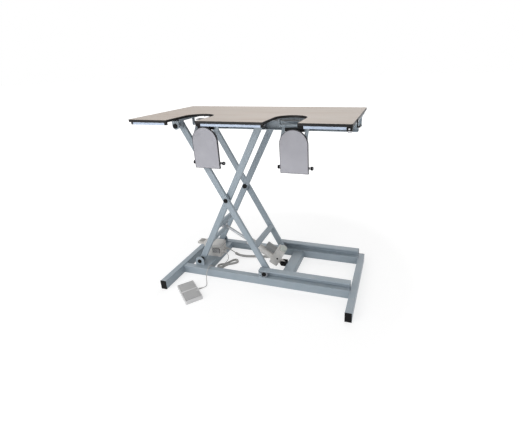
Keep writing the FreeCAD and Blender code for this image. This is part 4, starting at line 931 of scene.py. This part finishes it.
driveLine = {"pin": (0.078, 0.048), "angle": 29.98}
driveTrim = {
    "face": 0.033, "plateAlong": (0.030, 0.080), "plateUp": (-0.026, 0.062), "plateProud": 0.0022,
    "screws": ((0.035, -0.021), (0.075, -0.021), (0.035, 0.057), (0.075, 0.057)),
    "blackScrew": (0.0478, 0.0259), "blackRadius": 0.0062,
    "cover": (0.048, 0.092), "coverRadius": 0.0235, "coverHigh": 0.021,
    "can": (0.086, 0.052), "canLong": 0.074, "canRadius": 0.026,
    "barrelRadius": 0.026, "barrelEnd": 0.286, "mouth": 0.0238,
    "bands": ((0.0862, 0.010), (0.262, 0.022)),
}


def driveSpot(along, up, y=0.0):
    angle = math.radians(driveLine["angle"])
    x = driveLine["pin"][0] - along * math.cos(angle) + up * math.sin(angle)
    z = driveLine["pin"][1] + along * math.sin(angle) + up * math.cos(angle)
    return Vector((x, y, z))


def drivePlace():
    alongWay = driveSpot(1, 0) - driveSpot(0, 0)
    upWay = driveSpot(0, 1) - driveSpot(0, 0)
    turn = Matrix((alongWay, Vector((0, 1, 0)), upWay)).transposed().to_4x4()
    return Matrix.Translation(driveSpot(0, 0)) @ turn


def makeDriveTrim(made):
    trim = driveTrim
    place = drivePlace()
    alongWay = driveSpot(1, 0) - driveSpot(0, 0)
    upWay = driveSpot(0, 1) - driveSpot(0, 0)
    form = bmesh.new()
    for way in (-1, 1):
        ys = sorted((way * (trim["face"] - 0.001), way * (trim["face"] + trim["plateProud"])))
        addBlock(form, (trim["plateAlong"][0], ys[0], trim["plateUp"][0]),
                 (trim["plateAlong"][1], ys[1], trim["plateUp"][1]), 0.0018, place)
    makePiece(made, "gearPlates", form, "drivePlastic", "drive_housing")
    form = bmesh.new()
    for along, up in trim["screws"]:
        for way in (-1, 1):
            spot = driveSpot(along, up, way * (trim["face"] + trim["plateProud"]))
            addPanHead(form, spot, (0, way, 0), 0.0034, 0.0018)
    makePiece(made, "gearScrews", form, "zinc", "drive_housing")
    form = bmesh.new()
    along, up = trim["blackScrew"]
    face = trim["face"] + trim["plateProud"]
    addPanHead(form, driveSpot(along, up, -face), (0, -1, 0), trim["blackRadius"], 0.003)
    addTurned(form, driveSpot(trim["barrelEnd"], 0), alongWay,
              [(0, trim["mouth"]), (0, trim["barrelRadius"] - 0.0006),
               (0.0014, trim["barrelRadius"] - 0.0012), (0.0014, trim["mouth"])], 36, True)
    makePiece(made, "driveBlackParts", form, "plasticBlack", "drive_housing")
    form = bmesh.new()
    radius = trim["coverRadius"]
    high = trim["coverHigh"]
    addTurned(form, driveSpot(*trim["cover"]), upWay,
              [(-0.002, radius), (high * 0.55, radius), (high * 0.58, radius - 0.0012),
               (high * 0.64, radius - 0.0012), (high * 0.67, radius), (high * 0.86, radius * 0.97),
               (high * 0.96, radius * 0.86), (high, radius * 0.7)], 40)
    makePiece(made, "gearCover", form, "coverGreen", "drive_housing")
    form = bmesh.new()
    start, up = trim["can"]
    for share in (0.10, 0.82, 0.9):
        addTurned(form, driveSpot(start + trim["canLong"] * share, up), alongWay,
                  [(0, trim["canRadius"] - 0.001), (0.0004, trim["canRadius"] + 0.0008),
                   (0.0026, trim["canRadius"] + 0.0008), (0.003, trim["canRadius"] - 0.001)], 40, True)
    for index in range(3):
        turn = math.radians(30 + 120 * index)
        spot = driveSpot(start + trim["canLong"], up + math.cos(turn) * 0.018, math.sin(turn) * 0.018)
        addPanHead(form, spot, alongWay, 0.003, 0.0016)
    makePiece(made, "canBands", form, "motorGrey", "drive_housing")
    form = bmesh.new()
    for start, long in trim["bands"]:
        radius = trim["barrelRadius"]
        addTurned(form, driveSpot(start, 0), alongWay,
                  [(0, radius - 0.001), (0.0006, radius + 0.0004), (long - 0.0006, radius + 0.0004),
                   (long, radius - 0.001)], 40, True)
    makePiece(made, "barrelBands", form, "drivePlastic", "drive_housing")


# Foot switch: ribs on the pads, the ridge between them, a button, screws

pedalTrim = {
    "middle": (-0.4007, -0.4125), "turned": -40.7, "padTop": 0.027,
    "padLeft": (-0.090, -0.0045), "padRight": (0.0045, 0.090), "padNear": -0.0445, "padFar": 0.0445,
    "ribs": 8, "ribWide": 0.0016, "ribHigh": 0.0008, "ribIn": 0.008,
    "ridge": (0.0040, 0.0455, 0.0282, 0.0292), "button": (0.0290, 0.0400), "buttonRadius": 0.0045,
    "screws": ((-0.0925, -0.0475), (0.0925, -0.0475), (-0.0925, 0.0475), (0.0925, 0.0475)),
}


def makePedalTrim(made):
    trim = pedalTrim
    place = Matrix.Translation((*trim["middle"], 0)) @ Matrix.Rotation(math.radians(trim["turned"]), 4, "Z")
    for side, (left, right) in (("left", trim["padLeft"]), ("right", trim["padRight"])):
        form = bmesh.new()
        pitch = (trim["padFar"] - trim["padNear"] - 2 * trim["ribIn"]) / (trim["ribs"] - 1)
        for index in range(trim["ribs"]):
            y = trim["padNear"] + trim["ribIn"] + pitch * index
            near, far = y - trim["ribWide"] / 2, y + trim["ribWide"] / 2
            addBlock(form, (left + trim["ribIn"], near, trim["padTop"] - 0.0005),
                     (right - trim["ribIn"], far, trim["padTop"] + trim["ribHigh"]), 0.0003, place)
        makePiece(made, side + "PadRibs", form, "pedalPad", side + "_pedal")
    form = bmesh.new()
    half, long, lower, upper = trim["ridge"]
    addBlock(form, (-half, -long, lower - 0.006), (half, long, upper), 0.0005, place)
    makePiece(made, "pedalRidge", form, "pedalShell", "base")
    form = bmesh.new()
    radius = trim["buttonRadius"]
    addTurned(form, place @ Vector((*trim["button"], trim["padTop"] - 0.0003)), (0, 0, 1),
              [(0, radius), (0.0011, radius), (0.0016, radius * 0.8)], 28)
    makePiece(made, "pedalButton", form, "pedalShell", "right_pedal")
    form = bmesh.new()
    for x, y in trim["screws"]:
        addPanHead(form, place @ Vector((x, y, 0.0238)), (0, 0, 1), 0.0024, 0.0012)
    makePiece(made, "pedalScrews", form, "zinc", "base")


# Floor, light and background

studio = {
    "worldLight": 0.56,
    "keyWatts": 40, "keySpot": (-2.0, -3.0, 3.2), "keySize": 2.6,
    "fillWatts": 10, "fillSpot": (2.8, -2.4, 1.8), "fillSize": 2.5,
    "backWatts": 16, "backSpot": (-0.6, 2.8, 3.0), "backSize": 2.5,
    "lowWatts": 34, "lowSpot": (-1.5, -3.4, 0.8), "lowSize": 2.0,
    # what a camera ray sees: shadow depth, white level near the table, and where it is all white
    "floorShade": 0.42, "floorGlow": 0.68, "whiteFrom": 0.9, "whiteAt": 1.9,
}


def cameraRays(tree):
    rays = tree.nodes.new("ShaderNodeLightPath")
    mirrored = math2(tree, "MAXIMUM", rays.outputs["Is Glossy Ray"], rays.outputs["Is Transmission Ray"])
    return math2(tree, "MAXIMUM", rays.outputs["Is Camera Ray"], mirrored)


def makeStudio():
    floor = bpy.data.meshes.new("studioFloor")
    form = bmesh.new()
    bmesh.ops.create_grid(form, x_segments=1, y_segments=1, size=40)
    form.to_mesh(floor)
    form.free()
    ground = bpy.data.objects.new("studioFloor", floor)
    bpy.context.collection.objects.link(ground)
    material = bpy.data.materials.new("floorPale")
    material.use_nodes = True
    tree = material.node_tree
    surface = tree.nodes["Principled BSDF"]
    surface.inputs["Base Color"].default_value = (0.86, 0.86, 0.86, 1)
    surface.inputs["Roughness"].default_value = 0.9
    surface.inputs["Specular IOR Level"].default_value = 0.0
    shade = addNode(tree, "ShaderNodeBsdfDiffuse", Color=(*[studio["floorShade"]] * 3, 1))
    reach = addNode(tree, "ShaderNodeVectorMath", {"operation": "LENGTH"})
    feed(tree, reach.inputs[0], objectPlace(tree))
    level = addNode(tree, "ShaderNodeMapRange", Value=reach.outputs["Value"], From_Min=studio["whiteFrom"],
                    From_Max=studio["whiteAt"], To_Min=studio["floorGlow"], To_Max=1.0)
    glow = addNode(tree, "ShaderNodeEmission", Strength=level.outputs["Result"])
    seen = tree.nodes.new("ShaderNodeAddShader")
    tree.links.new(shade.outputs[0], seen.inputs[0])
    tree.links.new(glow.outputs[0], seen.inputs[1])
    chosen = tree.nodes.new("ShaderNodeMixShader")
    tree.links.new(cameraRays(tree), chosen.inputs[0])
    tree.links.new(surface.outputs[0], chosen.inputs[1])
    tree.links.new(seen.outputs[0], chosen.inputs[2])
    tree.links.new(chosen.outputs[0], tree.nodes["Material Output"].inputs["Surface"])
    floor.materials.append(material)
    world = bpy.data.worlds.new("studioWorld")
    bpy.context.scene.world = world
    world.use_nodes = True
    air = world.node_tree
    sky = air.nodes["Background"]
    sky.inputs["Color"].default_value = (1, 1, 1, 1)
    sky.inputs["Strength"].default_value = studio["worldLight"]
    bright = addNode(air, "ShaderNodeBackground", Color=(1, 1, 1, 1))
    chosen = air.nodes.new("ShaderNodeMixShader")
    air.links.new(cameraRays(air), chosen.inputs[0])
    air.links.new(sky.outputs[0], chosen.inputs[1])
    air.links.new(bright.outputs[0], chosen.inputs[2])
    air.links.new(chosen.outputs[0], air.nodes["World Output"].inputs["Surface"])
    for label in ("key", "fill", "back", "low"):
        lamp = bpy.data.lights.new(label + "Lamp", "AREA")
        lamp.energy = studio[label + "Watts"]
        lamp.size = studio[label + "Size"]
        holder = bpy.data.objects.new(label + "Lamp", lamp)
        holder.location = studio[label + "Spot"]
        towards = Vector((0, 0, 0.5)) - holder.location
        holder.rotation_euler = towards.to_track_quat("-Z", "Y").to_euler()
        bpy.context.collection.objects.link(holder)
    print("studio ready")


makeCamera()
made = makeFinishes()
makeFootCable(made)
makeMotorCable(made)
print("cables laid")
dressNodes(made)
for flapSide, flapMiddle in (("left", -0.293), ("right", 0.243)):
    makeFlapTrim(made, flapSide, flapMiddle)
makeTopTrim(made)
makeBaseTrim(made)
makeBoxTrim(made)
makeDriveTrim(made)
makePedalTrim(made)
print("trim made")
makeStudio()
